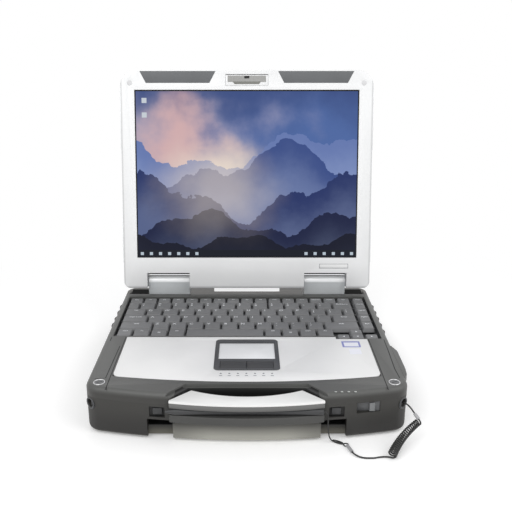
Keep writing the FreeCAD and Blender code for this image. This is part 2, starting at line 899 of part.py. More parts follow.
def row_keys(first, count):
    """The X bounds of a row: a wide first key, keys of one pitch, and a last key that fills the row."""
    edges = [-S.keyboard_half, first - S.keyboard_half]
    edges += [first - S.keyboard_half + (n + 1) * S.key_width for n in range(count)]
    return list(zip(edges, edges[1:] + [S.keyboard_main_right]))


def arrow_bounds():
    """The X and Y bounds of the left, down, right and up keys."""
    pitch = S.arrow_width
    low = (-S.arrow_drop, S.arrow_depth - S.arrow_drop)
    columns = [(S.arrow_left + n * pitch, S.arrow_left + (n + 1) * pitch) for n in range(3)]
    high = (low[1], low[1] + S.arrow_depth)
    return [(column, low) for column in columns] + [(columns[1], high)]


def rail_bounds(y, room):
    """The Y bounds of the guide rail under a row of keys."""
    middle = (y[0] + y[1]) / 2
    reach = S.rail_width / 2 + room
    return (middle - reach, middle + reach)


def key_group(label, spans):
    """One or more keys that ride on the guide rails, from pairs of X and Y bounds."""
    caps = [key(x, y) for x, y in spans]
    grooves = []
    top = S.rail_top + S.key_travel + S.key_guide
    for x, y in spans:
        groove_y = rail_bounds(y, S.key_guide)
        grooves.append(block("groove", x, groove_y, (S.key_bottom - 1, top)))
    caps_group = caps[0] if len(caps) == 1 else group(label + "_caps", caps)
    keep(cut(label + "_cut", caps_group, grooves), label)


def keyboard():
    """Keys in their groups, above a tray with one guide rail for each row."""
    pitch = (S.keyboard_half + S.keyboard_main_right) / S.function_count
    starts = [n * pitch - S.keyboard_half for n in range(int(S.function_count.value))]
    function_row = [(x, x + pitch) for x in starts]
    home = row_keys(S.caps_width, 11)
    rows = {
        "function_row_keys": (5, function_row),
        "number_row_keys": (4, row_keys(S.grave_width, 12)),
        "upper_letter_keys": (3, row_keys(S.tab_width, 12)),
        "home_letter_keys": (2, home[:-1]),
        "enter_key": (2, home[-1:]),
        "lower_letter_keys": (1, row_keys(S.shift_width, 10)),
    }
    control_right = S.control_width - S.keyboard_half
    modifiers = [(-S.keyboard_half, control_right)]
    modifiers += [(control_right + n * S.key_width, control_right + (n + 1) * S.key_width) for n in range(3)]
    space_left = modifiers[-1][1]
    low_right = S.arrow_left - S.arrow_gap
    space_right = low_right - 4 * S.key_width
    modifiers += [(space_right + n * S.key_width, space_right + (n + 1) * S.key_width) for n in range(4)]
    rows["bottom_row_keys"] = (0, modifiers)
    rows["space_bar"] = (0, [(space_left, space_right)])
    for label, (row, spans) in rows.items():
        key_group(label, [(span, row_bounds(row)) for span in spans])
    column = (S.keyboard_main_right + S.side_column_gap, S.keyboard_half)
    key_group("side_column_keys", [(column, row_bounds(row)) for row in range(1, FULL_ROWS + 1)])
    arrows = arrow_bounds()
    key_group("arrow_keys", arrows)
    x = S.keyboard_half + S.well_clearance
    room = S.well_clearance + S.key_guide
    well_y = (-S.arrow_drop - room, rows_rear() + room)
    rim_x = x + S.tray_rim
    rim_y = (well_y[0] - S.tray_rim, well_y[1] + S.tray_rim)
    pan = block("tray_pan", (-rim_x, rim_x), rim_y, (S.tray_floor - S.tray_thickness, skin_under))
    inside = block("tray_inside", (-x, x), well_y, (S.tray_floor, skin_under + 1))
    rail_z = (S.tray_floor, S.rail_top)
    rails = []
    for row in range(1, FULL_ROWS + 1):
        rails.append(block("rail", (-x, x), rail_bounds(row_bounds(row), 0), rail_z))
    rails.append(block("rail", (-x, low_right), rail_bounds(row_bounds(0), 0), rail_z))
    rails.append(block("rail", (S.arrow_left, x), rail_bounds(arrows[0][1], 0), rail_z))
    rails.append(block("rail", arrows[3][0], rail_bounds(arrows[3][1], 0), rail_z))
    keep(join("tray_joined", [cut("tray_cut", pan, [inside])] + rails), "keyboard_tray")


def front_fittings():
    """The power switch, the tether bars, the deck screw caps, the feet and the floor screws."""
    low = S.switch_low + S.slider_clearance
    high = S.switch_high - S.slider_clearance
    plate_front = -S.switch_face - S.switch_plate
    plate_x = (S.switch_left, S.switch_right)
    plate = block("plate", plate_x, (plate_front, -S.switch_face), (S.switch_low, S.switch_high))
    keep(plate, "power_switch_plate")
    slider_right = S.switch_right - S.slider_rest
    slider_x = (slider_right - S.slider_width, slider_right)
    slider_rear = plate_front - S.slider_clearance
    slider_y = (slider_rear - S.slider_depth, slider_rear)
    slider_z = (low + S.slider_margin, high - S.slider_margin)
    keep(block("slider", slider_x, slider_y, slider_z), "power_switch_slider")
    keep(group("bars", [tether_pin("bar", side) for side in LEFT_RIGHT]), "tether_bars")
    cap_low = S.deck_height - S.cap_depth
    cap_length = S.cap_depth + S.cap_proud
    up = Vector(0, 0, 1)
    caps = []
    for side in LEFT_RIGHT:
        caps.append(rod("cap", S.cap_radius, cap_length, (side * S.cap_x, -S.cap_y, cap_low), up))
    keep(group("caps", caps), "deck_screw_caps")
    feet = []
    for side in LEFT_RIGHT:
        for y in (-S.foot_front, S.foot_rear):
            x = side * (half - S.foot_inset_x)
            feet.append(rod("foot", S.foot_radius, S.foot_height, (x, y, 0), up))
    keep(group("feet", feet), "rubber_feet")
    screws = []
    for x, y in board_corners():
        screws.append(rod("screw", S.screw_radius, S.floor_thickness, (x, y, underside), up))
    keep(group("screws", screws), "floor_screws")


def handle_plan():
    """The handle from above: a bowed front, slanted sides and a waisted rear edge between two wings."""
    sag = S.handle_front - S.handle_side_front
    bow = (S.handle_half * S.handle_half + sag * sag) / (2 * sag)
    dip = S.handle_waist - S.handle_wing_y
    waist = (S.handle_wing_x * S.handle_wing_x + dip * dip) / (2 * dip)
    points = [
        (-S.handle_half, -S.handle_side_front),
        (S.handle_half, -S.handle_side_front),
        (S.handle_half, -S.handle_side_rear),
        (S.handle_wing_x, -S.handle_wing_y),
        (-S.handle_wing_x, -S.handle_wing_y),
        (-S.handle_half, -S.handle_side_rear),
    ]
    return Outline(points, {0: bow, 3: -waist})


def handle():
    """The grip, its bright top plate, the two arms that slide into the base, and the stowed stylus."""
    plate_low = S.handle_top - S.handle_plate
    grip = Piece("handle_grip")
    grip.grow("XY_Plane", S.handle_bottom, plate_low, handle_plan())
    reach = S.stylus_radius + S.stylus_seat
    groove_z = (S.stylus_height - reach, S.stylus_height + reach)
    groove_x = (-S.stylus_left - S.stylus_tip - S.stylus_seat, S.handle_half + 1)
    front = -S.handle_front - 1
    grip.carve("XZ_Plane", front, reach - S.stylus_y, rectangle(groove_x, groove_z))
    arm_x = (S.arm_inner, S.arm_outer)
    arm_y = (-S.arm_socket, -S.arm_end)
    arm_z = (S.arm_low, S.arm_high)
    for flip in (tuple, mirrored):
        grip.carve("XZ_Plane", -S.arm_socket, -S.handle_wing_y + 1, rectangle(flip(arm_x), arm_z))
    grip.keep()
    plate = Piece("handle_top_plate")
    plate.grow("XY_Plane", plate_low, S.handle_top, handle_plan())
    plate.keep()
    arms = [block("arm", flip(arm_x), arm_y, arm_z) for flip in (tuple, mirrored)]
    keep(group("arms", arms), "handle_arms")
    spot = (-S.stylus_left, -S.stylus_y, S.stylus_height)
    barrel = rod("barrel", S.stylus_radius, S.stylus_left + S.stylus_right, spot, Vector(1, 0, 0))
    tip = doc.addObject("Part::Cone", "tip")
    tip.Placement = Placement(Vector(), Rotation(Vector(0, 0, 1), Vector(-1, 0, 0)))
    bind(tip, "Radius1", S.stylus_radius)
    bind(tip, "Radius2", S.stylus_radius / 3)
    bind(tip, "Height", S.stylus_tip)
    for axis, place in zip("xyz", spot):
        bind(tip, "Placement.Base." + axis, place)
    keep(join("stylus_joined", [barrel, tip]), "stylus")


def hinged_cover(name, role, span, outer, out, low, high):
    """A cover plate with a round lower edge about its hinge line. out is the outward direction."""
    inner = outer - out * S.cover_thickness
    faces = (inner, outer) if out > 0 else (outer, inner)
    cover = Piece(name)
    cover.grow(role, span[0], span[1], rectangle(faces, (low, high)))
    cover.grow(role, span[0], span[1], Ring((inner + outer) / 2, low, S.cover_thickness / 2))
    return cover


def side_covers():
    """The battery cover on the right and the media bay cover on the left, hinged at their lower edges."""
    room = S.cover_clearance
    hinge_z = S.cover_low + room + S.cover_thickness / 2
    high = S.cover_high - room
    battery_y = (room - S.battery_cover_front, -S.battery_cover_rear - room)
    face = half - room
    battery = hinged_cover("battery_cover", "XZ_Plane", battery_y, face, 1, hinge_z, high)
    bulge_z = (hinge_z + S.cover_thickness, high - S.cover_thickness)
    slope = S.battery_cover_bulge * 2
    points = [
        (face, battery_y[0] + slope),
        (face + S.battery_cover_bulge, battery_y[0] + 2 * slope),
        (face + S.battery_cover_bulge, battery_y[1] - 2 * slope),
        (face, battery_y[1] - slope),
    ]
    battery.grow("XY_Plane", bulge_z[0], bulge_z[1], Outline(points))
    battery.keep()
    bay_y = (room - S.bay_cover_front, S.bay_cover_rear - room)
    bay = hinged_cover("media_bay_cover", "XZ_Plane", bay_y, room - half, -1, hinge_z, high)
    bay.keep()


def rear_covers():
    """The two port covers in the rear wall, and the sockets behind them."""
    room = S.cover_clearance
    hinge_z = S.port_cover_low + room + S.cover_thickness / 2
    high = S.port_cover_high - room
    inner = S.port_cover_inner + room
    outer = S.port_cover_outer - room
    sockets = []
    pitch = (S.port_cover_outer - S.port_cover_inner) / S.socket_count
    for side, flip in (("left", mirrored), ("right", tuple)):
        span = flip((inner, outer))
        face = S.base_rear - room
        cover = hinged_cover(f"rear_{side}_port_cover", "YZ_Plane", span, face, 1, hinge_z, high)
        cover.keep()
        for n in range(int(S.socket_count.value)):
            middle = S.port_cover_inner + (n + 0.5) * pitch
            x = flip((middle - S.socket_width / 2, middle + S.socket_width / 2))
            sockets.append(socket(x))
    keep(group("sockets", sockets), "rear_connectors")


def socket(x):
    """A connector shell that stands on the floor against the rear wall, with a shallow mouth."""
    shell_y = (inner_rear - S.socket_depth, inner_rear)
    shell = block("shell", x, shell_y, (floor_top, floor_top + S.port_cover_low + S.socket_height))
    mouth_x = (x[0] + S.socket_lip, x[1] - S.socket_lip)
    mouth_z = (S.port_cover_low + S.socket_lip, S.port_cover_low + S.socket_height)
    mouth = block("mouth", mouth_x, (inner_rear - S.socket_mouth, inner_rear + 1), mouth_z)
    return cut("socket", shell, [mouth])


def side_ribs():
    """Rounded guard ribs on the rear of the right side, and one on the left."""
    ribs = []
    height = S.rib_high - S.rib_low
    centre = half + S.rib_proud - S.rib_radius
    spots = [(1, S.rib_first + n * S.rib_pitch) for n in range(int(S.rib_count.value))]
    spots.append((-1, S.rib_first + 2 * S.rib_pitch))
    for side, y in spots:
        post = rod("rib", S.rib_radius, height, (side * centre, y, S.rib_low), Vector(0, 0, 1))
        inside = (-half, half)
        wall = block("wall", inside, (y - S.rib_radius, y + S.rib_radius), (S.rib_low, S.rib_high))
        ribs.append(cut("rib_cut", post, [wall]))
    keep(group("ribs", ribs), "side_ribs")


def internals():
    """The circuit board with its heat sink and memory, the battery, the drive and the media module."""
    board_low = floor_top + S.standoff_height
    board_top = board_low + S.board_thickness
    board_y = (-S.board_front, S.board_rear)
    board_x = (-S.board_half, S.board_half)
    keep(block("board", board_x, board_y, (board_low, board_top)), "main_board")
    sink = Piece("heat_sink")
    sink_top = board_top + S.sink_height
    sink_y = (S.sink_front, S.sink_rear)
    sink.grow("XY_Plane", board_top, sink_top, rectangle((-S.sink_half, S.sink_half), sink_y))
    count = int((S.sink_half.value * 2 - S.fin_gap.value) / S.fin_pitch.value)
    first = -S.fin_pitch * (count - 1) / 2 - S.fin_gap / 2
    gaps = []
    for n in range(count):
        left = first + n * S.fin_pitch
        gaps.append(rectangle((left, left + S.fin_gap), (board_top + S.sink_plate, sink_top + 1)))
    sink.carve("XZ_Plane", S.sink_front - 1, S.sink_rear + 1, *gaps)
    sink.keep()
    memory_x = (S.memory_left, S.memory_left + S.memory_length)
    memory_y = (-S.memory_front, S.memory_depth - S.memory_front)
    keep(block("memory", memory_x, memory_y, (board_top, board_top + S.memory_height)), "memory_module")
    right = inner_half - S.module_side_gap
    battery_y = (-S.battery_cover_front, -S.battery_cover_rear)
    battery_z = (floor_top, floor_top + S.battery_height)
    keep(block("battery", (S.battery_left, right), battery_y, battery_z), "battery_pack")
    drive_y = (-S.drive_front, S.drive_rear)
    drive_z = (floor_top, floor_top + S.drive_height)
    keep(block("drive", (S.drive_left, right), drive_y, drive_z), "drive_module")
    bay_y = (-S.bay_cover_front, S.bay_cover_rear)
    bay_z = (floor_top, floor_top + S.bay_height)
    keep(block("bay", (-right, -S.bay_right), bay_y, bay_z), "media_bay_module")


def hinge_covers():
    """The two fixed covers that carry the hinge pins."""
    for side, flip in (("left", mirrored), ("right", tuple)):
        cover = Piece(f"{side}_hinge_cover")
        front = S.hinge_y - S.hinge_barrel
        rear = S.hinge_y + S.hinge_barrel
        span = flip((S.hinge_inner + S.hinge_side_gap, S.hinge_outer - S.hinge_side_gap))
        cover.grow("YZ_Plane", span[0], span[1], rectangle((front, rear), (S.trough_height, S.hinge_z)))
        cover.grow("YZ_Plane", span[0], span[1], Ring(S.hinge_y, S.hinge_z, S.hinge_barrel))
        bore = Ring(S.hinge_y, S.hinge_z, S.hinge_pin + S.hinge_running)
        cover.carve("YZ_Plane", span[0] - 1, span[1] + 1, bore)
        cover.keep()


def stand_open(body):
    """Places a piece of the lid, drawn upright about the hinge line, at the angle it stands open."""
    body.Placement = Placement(Vector(), Rotation(Vector(-1, 0, 0), number(S.open_angle) - 90))
    bind(body, "Placement.Rotation.Angle", S.open_angle - 90)
    bind(body, "Placement.Base.y", S.hinge_y)
    bind(body, "Placement.Base.z", S.hinge_z)


def lid_plan():
    return rectangle((-S.lid_half, S.lid_half), (-S.lid_low, S.lid_high))


def lid_shell(name, front, back):
    """A slab with the outline of the lid and its two hinge notches."""
    piece = Piece(name)
    piece.grow("XZ_Plane", front, back, lid_plan())
    middle = (S.lid_high - S.lid_low) / 2
    piece.round(S.lid_top_corner, lambda edge: across(edge) and edge.BoundBox.ZMin > middle.value)
    piece.round(S.lid_bottom_corner, lambda edge: across(edge) and edge.BoundBox.ZMax < 0)
    return piece


def cut_hinge_notches(piece, front, back):
    notch_z = (-S.lid_low - 1, S.hinge_notch)
    for flip in (tuple, mirrored):
        notch = rectangle(flip((S.hinge_inner, S.hinge_outer)), notch_z)
        piece.carve("XZ_Plane", front - 1, back + 1, notch)


def antenna_outline(side):
    """The trapezoid of an antenna cover, wide at the top edge of the lid."""
    inner = S.antenna_inner
    outer = S.antenna_outer
    low = S.antenna_low
    high = S.antenna_high
    points = [(inner + S.antenna_slope, low), (outer - S.antenna_slope, low), (outer, high), (inner, high)]
    if side < 0:
        points = [(-x, z) for x, z in reversed(points)]
    return Outline(points)


def screen_outline(room):
    half_width = S.screen_half + room
    return rectangle((-half_width, half_width), (S.screen_low - room, S.screen_low + S.screen_height + room))


def lid_back_cover():
    piece = lid_shell("lid_back_cover", -S.bezel_back, S.lid_back)
    back = S.lid_back.value
    piece.round(S.lid_back_edge, lambda edge: edge.BoundBox.YMin > back - NEAR)
    cavity = rectangle((-S.lid_cavity_half, S.lid_cavity_half), (S.lid_cavity_low, S.lid_cavity_high))
    piece.carve("XZ_Plane", -S.bezel_back - 1, S.lid_back - S.lid_skin, cavity)
    cut_hinge_notches(piece, -S.bezel_back, S.lid_back)
    seat = S.hinge_pin_seat
    for flip in (tuple, mirrored):
        span = flip((S.hinge_inner - seat, S.hinge_outer + seat))
        piece.carve("YZ_Plane", span[0], span[1], Ring(0, 0, S.hinge_pin))
    stand_open(piece.keep())


def lid_bezel():
    """The front frame around the screen, with beds for the antenna covers, latch, bumpers and badge."""
    piece = lid_shell("lid_bezel", -S.bezel_front, -S.bezel_back)
    front = -S.bezel_front - 1
    piece.carve("XZ_Plane", front, 1 - S.bezel_back, screen_outline(S.screen_margin))
    cut_hinge_notches(piece, -S.bezel_front, -S.bezel_back)
    antenna_bed = S.antenna_depth - S.bezel_front
    for side in LEFT_RIGHT:
        piece.carve("XZ_Plane", front, antenna_bed, antenna_outline(side))
    latch_x = S.latch_half + S.latch_clearance
    latch_z = (S.latch_low - S.latch_clearance, S.latch_high + S.latch_clearance)
    piece.carve("XZ_Plane", front, S.latch_depth - S.bezel_front, rectangle((-latch_x, latch_x), latch_z))
    pin_x = latch_x + S.latch_pin_seat
    piece.carve("YZ_Plane", -pin_x, pin_x, Ring(latch_pin_y(), latch_pin_z(), S.latch_pin))
    bumpers = [Ring(side * S.bumper_x, S.bumper_z, S.bumper_radius) for side in LEFT_RIGHT]
    piece.carve("XZ_Plane", front, S.bumper_depth - S.bezel_front, *bumpers)
    badge = rectangle((S.badge_left, S.badge_right), (S.badge_low, S.badge_high))
    piece.carve("XZ_Plane", front, S.badge_thickness - S.badge_proud - S.bezel_front, badge)
    stand_open(piece.keep())


def latch_pin_y():
    return S.latch_pin_sunk - S.bezel_front


def latch_pin_z():
    return S.latch_high - S.latch_pin_sunk


def lid_fittings():
    """The display panel and what is set into the lid's front."""
    panel = Piece("display_panel")
    glass_front = S.screen_sunk - S.bezel_front
    panel.grow("XZ_Plane", glass_front, -S.bezel_back, screen_outline(0))
    panel_back = S.panel_thickness - S.bezel_back
    panel.grow("XZ_Plane", -S.bezel_back, panel_back, screen_outline(S.panel_border))
    stand_open(panel.keep())
    for name, side in SIDES:
        cover = Piece(f"{name}_antenna_cover")
        cover_front = -S.bezel_front - S.antenna_proud
        cover.grow("XZ_Plane", cover_front, S.antenna_depth - S.bezel_front, antenna_outline(side))
        stand_open(cover.keep())
    latch = Piece("lid_latch")
    latch_back = S.latch_depth - S.latch_clearance - S.bezel_front
    latch_x = (-S.latch_half, S.latch_half)
    heel = latch_pin_z()
    latch.grow("XZ_Plane", -S.bezel_front, latch_back, rectangle(latch_x, (S.latch_low, heel)))
    heel_radius = S.latch_pin_sunk - S.latch_clearance
    latch.grow("YZ_Plane", latch_x[0], latch_x[1], Ring(latch_pin_y(), heel, heel_radius))
    bore = Ring(latch_pin_y(), heel, S.latch_pin + S.hinge_running)
    latch.carve("YZ_Plane", latch_x[0] - 1, latch_x[1] + 1, bore)
    stand_open(latch.keep())
    pin_x = S.latch_half + S.latch_clearance + S.latch_pin_seat
    right = Vector(1, 0, 0)
    latch_rod = rod("latch_rod", S.latch_pin, 2 * pin_x, (-pin_x, latch_pin_y(), heel), right)
    stand_open(keep(group("latch_rods", [latch_rod]), "latch_pin"))
    bumper_front = -S.bezel_front - S.bumper_proud
    bumpers = []
    for side in LEFT_RIGHT:
        spot = (side * S.bumper_x, bumper_front, S.bumper_z)
        bumpers.append(rod("bumper", S.bumper_radius, S.bumper_depth + S.bumper_proud, spot, Vector(0, 1, 0)))
    stand_open(keep(group("bumpers", bumpers), "lid_bumpers"))
    badge = Piece("badge_plate")
    badge_front = -S.bezel_front - S.badge_proud
    badge_face = rectangle((S.badge_left, S.badge_right), (S.badge_low, S.badge_high))
    badge.grow("XZ_Plane", badge_front, badge_front + S.badge_thickness, badge_face)
    stand_open(badge.keep())
    guards = []
    for flip in (tuple, mirrored):
        for low, high in ((S.guard_low, S.guard_middle_low), (S.guard_middle_high, S.guard_high)):
            guard_x = flip((S.lid_half, S.lid_half + S.guard_proud))
            guards.append(block("guard", guard_x, (-S.guard_front, S.guard_back), (low, high)))
    stand_open(keep(group("guards", guards), "lid_side_guards"))
    seat = S.hinge_pin_seat
    span = (S.hinge_inner - seat, S.hinge_outer + seat)
    pins = []
    for flip in (tuple, mirrored):
        start = flip(span)[0]
        pins.append(rod("hinge_rod", S.hinge_pin, span[1] - span[0], (start, 0, 0), right))
    stand_open(keep(group("hinge_rods", pins), "hinge_pins"))


COIL_TOP = Vector(158.4, -122.6, 18.8)
COIL_MIDDLE = Vector(142.8, -135.2, 12.2)
COIL_FOOT = Vector(128.5, -154.5, 4.9)
UPPER_ROUTE = [(151.6, -116.4, 29.6), (149.6, -113.0, 30.8), (147.3, -110.5, 31.0)]
LEAD_ROUTE = [(121.8, -151.6, 1.0), (117.4, -152.2, 0.9), (113.2, -153.5, 0.9), (109.4, -153.5, 0.9)]
HANDLE_LEAD_ROUTE = [LEAD_ROUTE[-1], (105.6, -153.5, 0.9), (101.6, -152.6, 1.0), (98.0, -150.6, 1.4)]
STRING_ROUTE = [(72.0, -130.5, 34.0), (73.5, -130.5, 31.6), (73.9, -130.3, 27.4), (74.0, -129.8, 20.0),
                (74.7, -129.2, 11.5), (76.2, -128.2, 4.6), (79.4, -127.6, 0.9), (84.4, -128.7, 0.8),
                (88.4, -131.2, 0.8)]
SLEEVE_WAY = Vector(0.285, -0.958, 0).normalize()


class Curls:
    """A helix about an axis that is bent to an arc. Its share runs from 0 at the top to 1 at the foot."""

    def __init__(self):
        circle = Part.Arc(COIL_TOP, COIL_MIDDLE, COIL_FOOT).toShape().Curve
        self.centre = circle.Center
        self.radius = circle.Radius
        self.out = (COIL_TOP - self.centre).normalize()
        self.normal = (COIL_TOP - self.centre).cross(COIL_FOOT - self.centre).normalize()
        self.along = self.normal.cross(self.out)
        self.sweep = (COIL_TOP - self.centre).getAngle(COIL_FOOT - self.centre)
        self.turns = S.coil_turns.value
        self.foot_angle = math.atan2(-self.normal.z, -self.arm(1).z)

    def arm(self, share):
        """The direction from the arc's centre to the axis."""
        return self.out * math.cos(self.sweep * share) + self.along * math.sin(self.sweep * share)

    def point(self, share):
        """A point of the cord. The last one is the lowest of its turn."""
        angle = 2 * math.pi * self.turns * (share - 1) + self.foot_angle
        high = S.coil_high_radius.value
        spread = high + (S.coil_low_radius.value - high) * share
        reach = self.radius + spread * math.cos(angle)
        return self.centre + self.arm(share) * reach + self.normal * (spread * math.sin(angle))

    def tangent(self, share):
        step = 1e-6
        return (self.point(share + step) - self.point(share - step)).normalize()

    def tails(self):
        """The outer ends of the two straight tails, each with its outward direction."""
        tail = 2 * S.cord_radius.value
        up = self.tangent(0) * -1
        down = self.tangent(1)
        return (self.point(0) + up * tail, up), (self.point(1) + down * tail, down)

    def least_gap(self):
        """The least gap between one curl and the next."""
        steps = 48
        count = int(steps * self.turns)
        points = [self.point(n / count) for n in range(count + 1)]
        gaps = [
            (points[a] - points[b]).Length
            for a in range(count + 1)
            for b in range(a + steps // 2, min(a + steps * 2, count + 1))
        ]
        return min(gaps) - 2 * S.cord_radius.value


def arc_middle(start, tangent, end):
    """The middle of the arc that leaves a point along a tangent and ends at another point."""
    chord = end - start
    side = (chord - tangent * chord.dot(tangent)).normalize()
    radius = chord.dot(chord) / (2 * chord.dot(side))
    centre = start + side * radius
    return centre + ((start + end) * 0.5 - centre).normalize() * radius


def biarc(start, start_tangent, end, end_tangent):
    """Two arcs that join two points along their tangents."""
    chord = end - start
    spread = 2 * (1 - start_tangent.dot(end_tangent))
    along = chord.dot(start_tangent + end_tangent)
    reach = (-along + math.sqrt(along * along + spread * chord.dot(chord))) / spread
    meeting = (start + start_tangent * reach + end - end_tangent * reach) * 0.5
    first = Part.Arc(start, arc_middle(start, start_tangent, meeting), meeting)
    second = Part.Arc(meeting, arc_middle(end, end_tangent * -1, meeting), end)
    return [first.toShape(), second.toShape()]


def line(start, end):
    return Part.LineSegment(start, end).toShape()


def swept_tube(label, edges, start, way, radius):
    """A round tube along a chain of edges. Its volume is compared with its section times its length."""
    path = Part.Wire(edges)
    shell = Part.BRepOffsetAPI.MakePipeShell(path)
    shell.add(Part.Wire(Part.Circle(start, way, radius).toShape()))
    shell.build()
    shell.makeSolid()
    shape = shell.shape()
    share = shape.Volume / (math.pi * radius * radius * path.Length)
    print(label, "length", round(path.Length, 1), "volume share", round(share, 4))
    return shape


def keep_shape(label, shape):
    item = doc.addObject("Part::Feature", label + "_feature")
    item.Shape = shape
    item.Placement = Placement()
    return keep(item, label)


def cord_tube(label, route, radius):
    """A tube on straight runs joined by tangent arcs, each as large as its two runs allow."""
    points = [Vector(*place) for place in route]
    edges = []
    radii = []
    last = points[0]
    for before, corner, after in zip(points, points[1:], points[2:]):
        run_in = (corner - before).normalize()
        run_out = (after - corner).normalize()
        reach = 0.45 * min((corner - before).Length, (after - corner).Length)
        radii.append(round(reach / math.tan(run_in.getAngle(run_out) / 2), 1))
        start = corner - run_in * reach
        end = corner + run_out * reach
        edges.append(line(last, start))
        edges.append(Part.Arc(start, arc_middle(start, run_in, end), end).toShape())
        last = end
    edges.append(line(last, points[-1]))
    print(label, "bend radii", radii)
    return swept_tube(label, edges, points[0], points[1] - points[0], radius)


def tether():
    """The stylus tether: from the corner bar through its sleeve and curls to the string at the handle."""
    radius = S.cord_radius.value
    run = 3 * radius
    curls = Curls()
    (top, up), (foot, down) = curls.tails()
    spans = math.ceil(curls.turns * 4)
    shares = [n / spans for n in range(spans + 1)]
    edges = [line(top, curls.point(0))]
    for a, b in zip(shares, shares[1:]):
        edges += biarc(curls.point(a), curls.tangent(a), curls.point(b), curls.tangent(b))
    edges.append(line(curls.point(1), foot))
    keep_shape("tether_coil", swept_tube("tether_coil", edges, top, up, radius))
    print("tether_coil least gap to itself", round(curls.least_gap(), 3))
    upper_length = S.upper_sleeve_length.value
    sleeve_top = top + up * upper_length
    keep_shape("tether_upper_sleeve", Part.makeCylinder(S.sleeve_radius.value, upper_length, top, up))
    bar_x, bar_y = tether_point(1, S.tether_bar_inset)
    bar = Vector(bar_x.value, bar_y.value, S.tether_height.value)
    bar_side = bar + (Vector(*UPPER_ROUTE[-1]) - bar).normalize() * (S.tether_bar.value - S.bar_bite.value)
    upper = [tuple(sleeve_top), tuple(sleeve_top + up * run)] + UPPER_ROUTE + [tuple(bar_side)]
    keep_shape("tether_upper_lead", cord_tube("tether_upper_lead", upper, radius))
    lead = [tuple(foot), tuple(foot + down * run)] + LEAD_ROUTE
    keep_shape("tether_lead", cord_tube("tether_lead", lead, radius))
    stylus_end = (S.stylus_right.value, -S.stylus_y.value, S.stylus_height.value)
    string_route = [stylus_end] + STRING_ROUTE
    string = cord_tube("stylus_string", string_route, S.string_radius.value)
    string_end = Vector(*STRING_ROUTE[-1])
    string_way = (string_end - Vector(*STRING_ROUTE[-2])).normalize()
    ring_reach = S.ring_radius.value + S.ring_wire.value + S.ring_play.value
    ring_centre = string_end + Vector(string_way.x, string_way.y, 0) * ring_reach
    ring = Part.makeTorus(S.ring_radius.value, S.ring_wire.value, ring_centre, Vector(0, 0, 1))
    keep_shape("stylus_string", Part.makeCompound([string, ring]))
    lower_length = S.lower_sleeve_length.value
    sleeve_height = S.sleeve_radius.value + S.ring_play.value
    sleeve_high = ring_centre + SLEEVE_WAY * ring_reach
    sleeve_high.z = sleeve_height
    sleeve_low = sleeve_high + SLEEVE_WAY * lower_length
    lower_sleeve = Part.makeCylinder(S.sleeve_radius.value, lower_length, sleeve_high, SLEEVE_WAY)
    keep_shape("tether_lower_sleeve", lower_sleeve)
    beyond = HANDLE_LEAD_ROUTE + [tuple(sleeve_low + SLEEVE_WAY * run), tuple(sleeve_low)]
    keep_shape("stylus_lead", cord_tube("stylus_lead", beyond, radius))


def check():
    """Stops the build where a feature failed, a pocket cut nothing or a sub-part has no sound shape."""
    doc.recompute()
    for item in doc.Objects:
        if "Invalid" in item.State or "Error" in item.State:
            raise RuntimeError(f"{item.Name} failed: {item.State}")
        if item.TypeId == "PartDesign::Pocket":
            if item.Shape.Volume > item.BaseFeature.Shape.Volume - NEAR:
                raise RuntimeError(f"{item.Name} cut nothing")
    for item in nodes:
        if item.Shape.isNull() or not item.Shape.isValid() or not item.Shape.Solids:
            raise RuntimeError(f"{item.Label} has no sound shape")


def write():
    os.makedirs("parts", exist_ok=True)
    for item in nodes:
        item.Shape.exportStep(f"parts/{item.Label}.step")
    print(len(nodes), "sub-parts")


bottom_case()
deck_frame()
palm_rest_plate()
touchpad()
keyboard()
front_fittings()
handle()
side_covers()
rear_covers()
side_ribs()
internals()
hinge_covers()
lid_back_cover()
lid_bezel()
lid_fittings()
tether()
check()
write()
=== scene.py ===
"""Looks of a rugged notebook computer: shells, keys, display, carry handle and stylus tether."""

import json
import math

import bmesh
import bpy
from mathutils import Matrix, Vector


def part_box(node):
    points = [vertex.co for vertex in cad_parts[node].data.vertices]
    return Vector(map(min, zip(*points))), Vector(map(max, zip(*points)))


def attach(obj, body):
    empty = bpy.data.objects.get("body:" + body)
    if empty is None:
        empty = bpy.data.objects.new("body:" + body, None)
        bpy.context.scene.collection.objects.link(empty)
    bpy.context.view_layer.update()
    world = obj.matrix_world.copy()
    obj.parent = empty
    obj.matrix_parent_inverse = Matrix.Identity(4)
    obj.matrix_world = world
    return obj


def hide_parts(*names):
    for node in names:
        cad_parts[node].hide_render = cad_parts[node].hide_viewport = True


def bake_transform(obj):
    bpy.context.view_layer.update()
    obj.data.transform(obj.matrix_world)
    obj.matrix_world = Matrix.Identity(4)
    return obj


bl_info = {
    "name": "Rugged Notebook",
    "version": (1, 0, 0),
    "blender": (4, 5, 0),
    "location": "View3D > Sidebar > Notebook",
    "description": "Dresses the solids of a rugged notebook computer",
    "category": "Object",
}

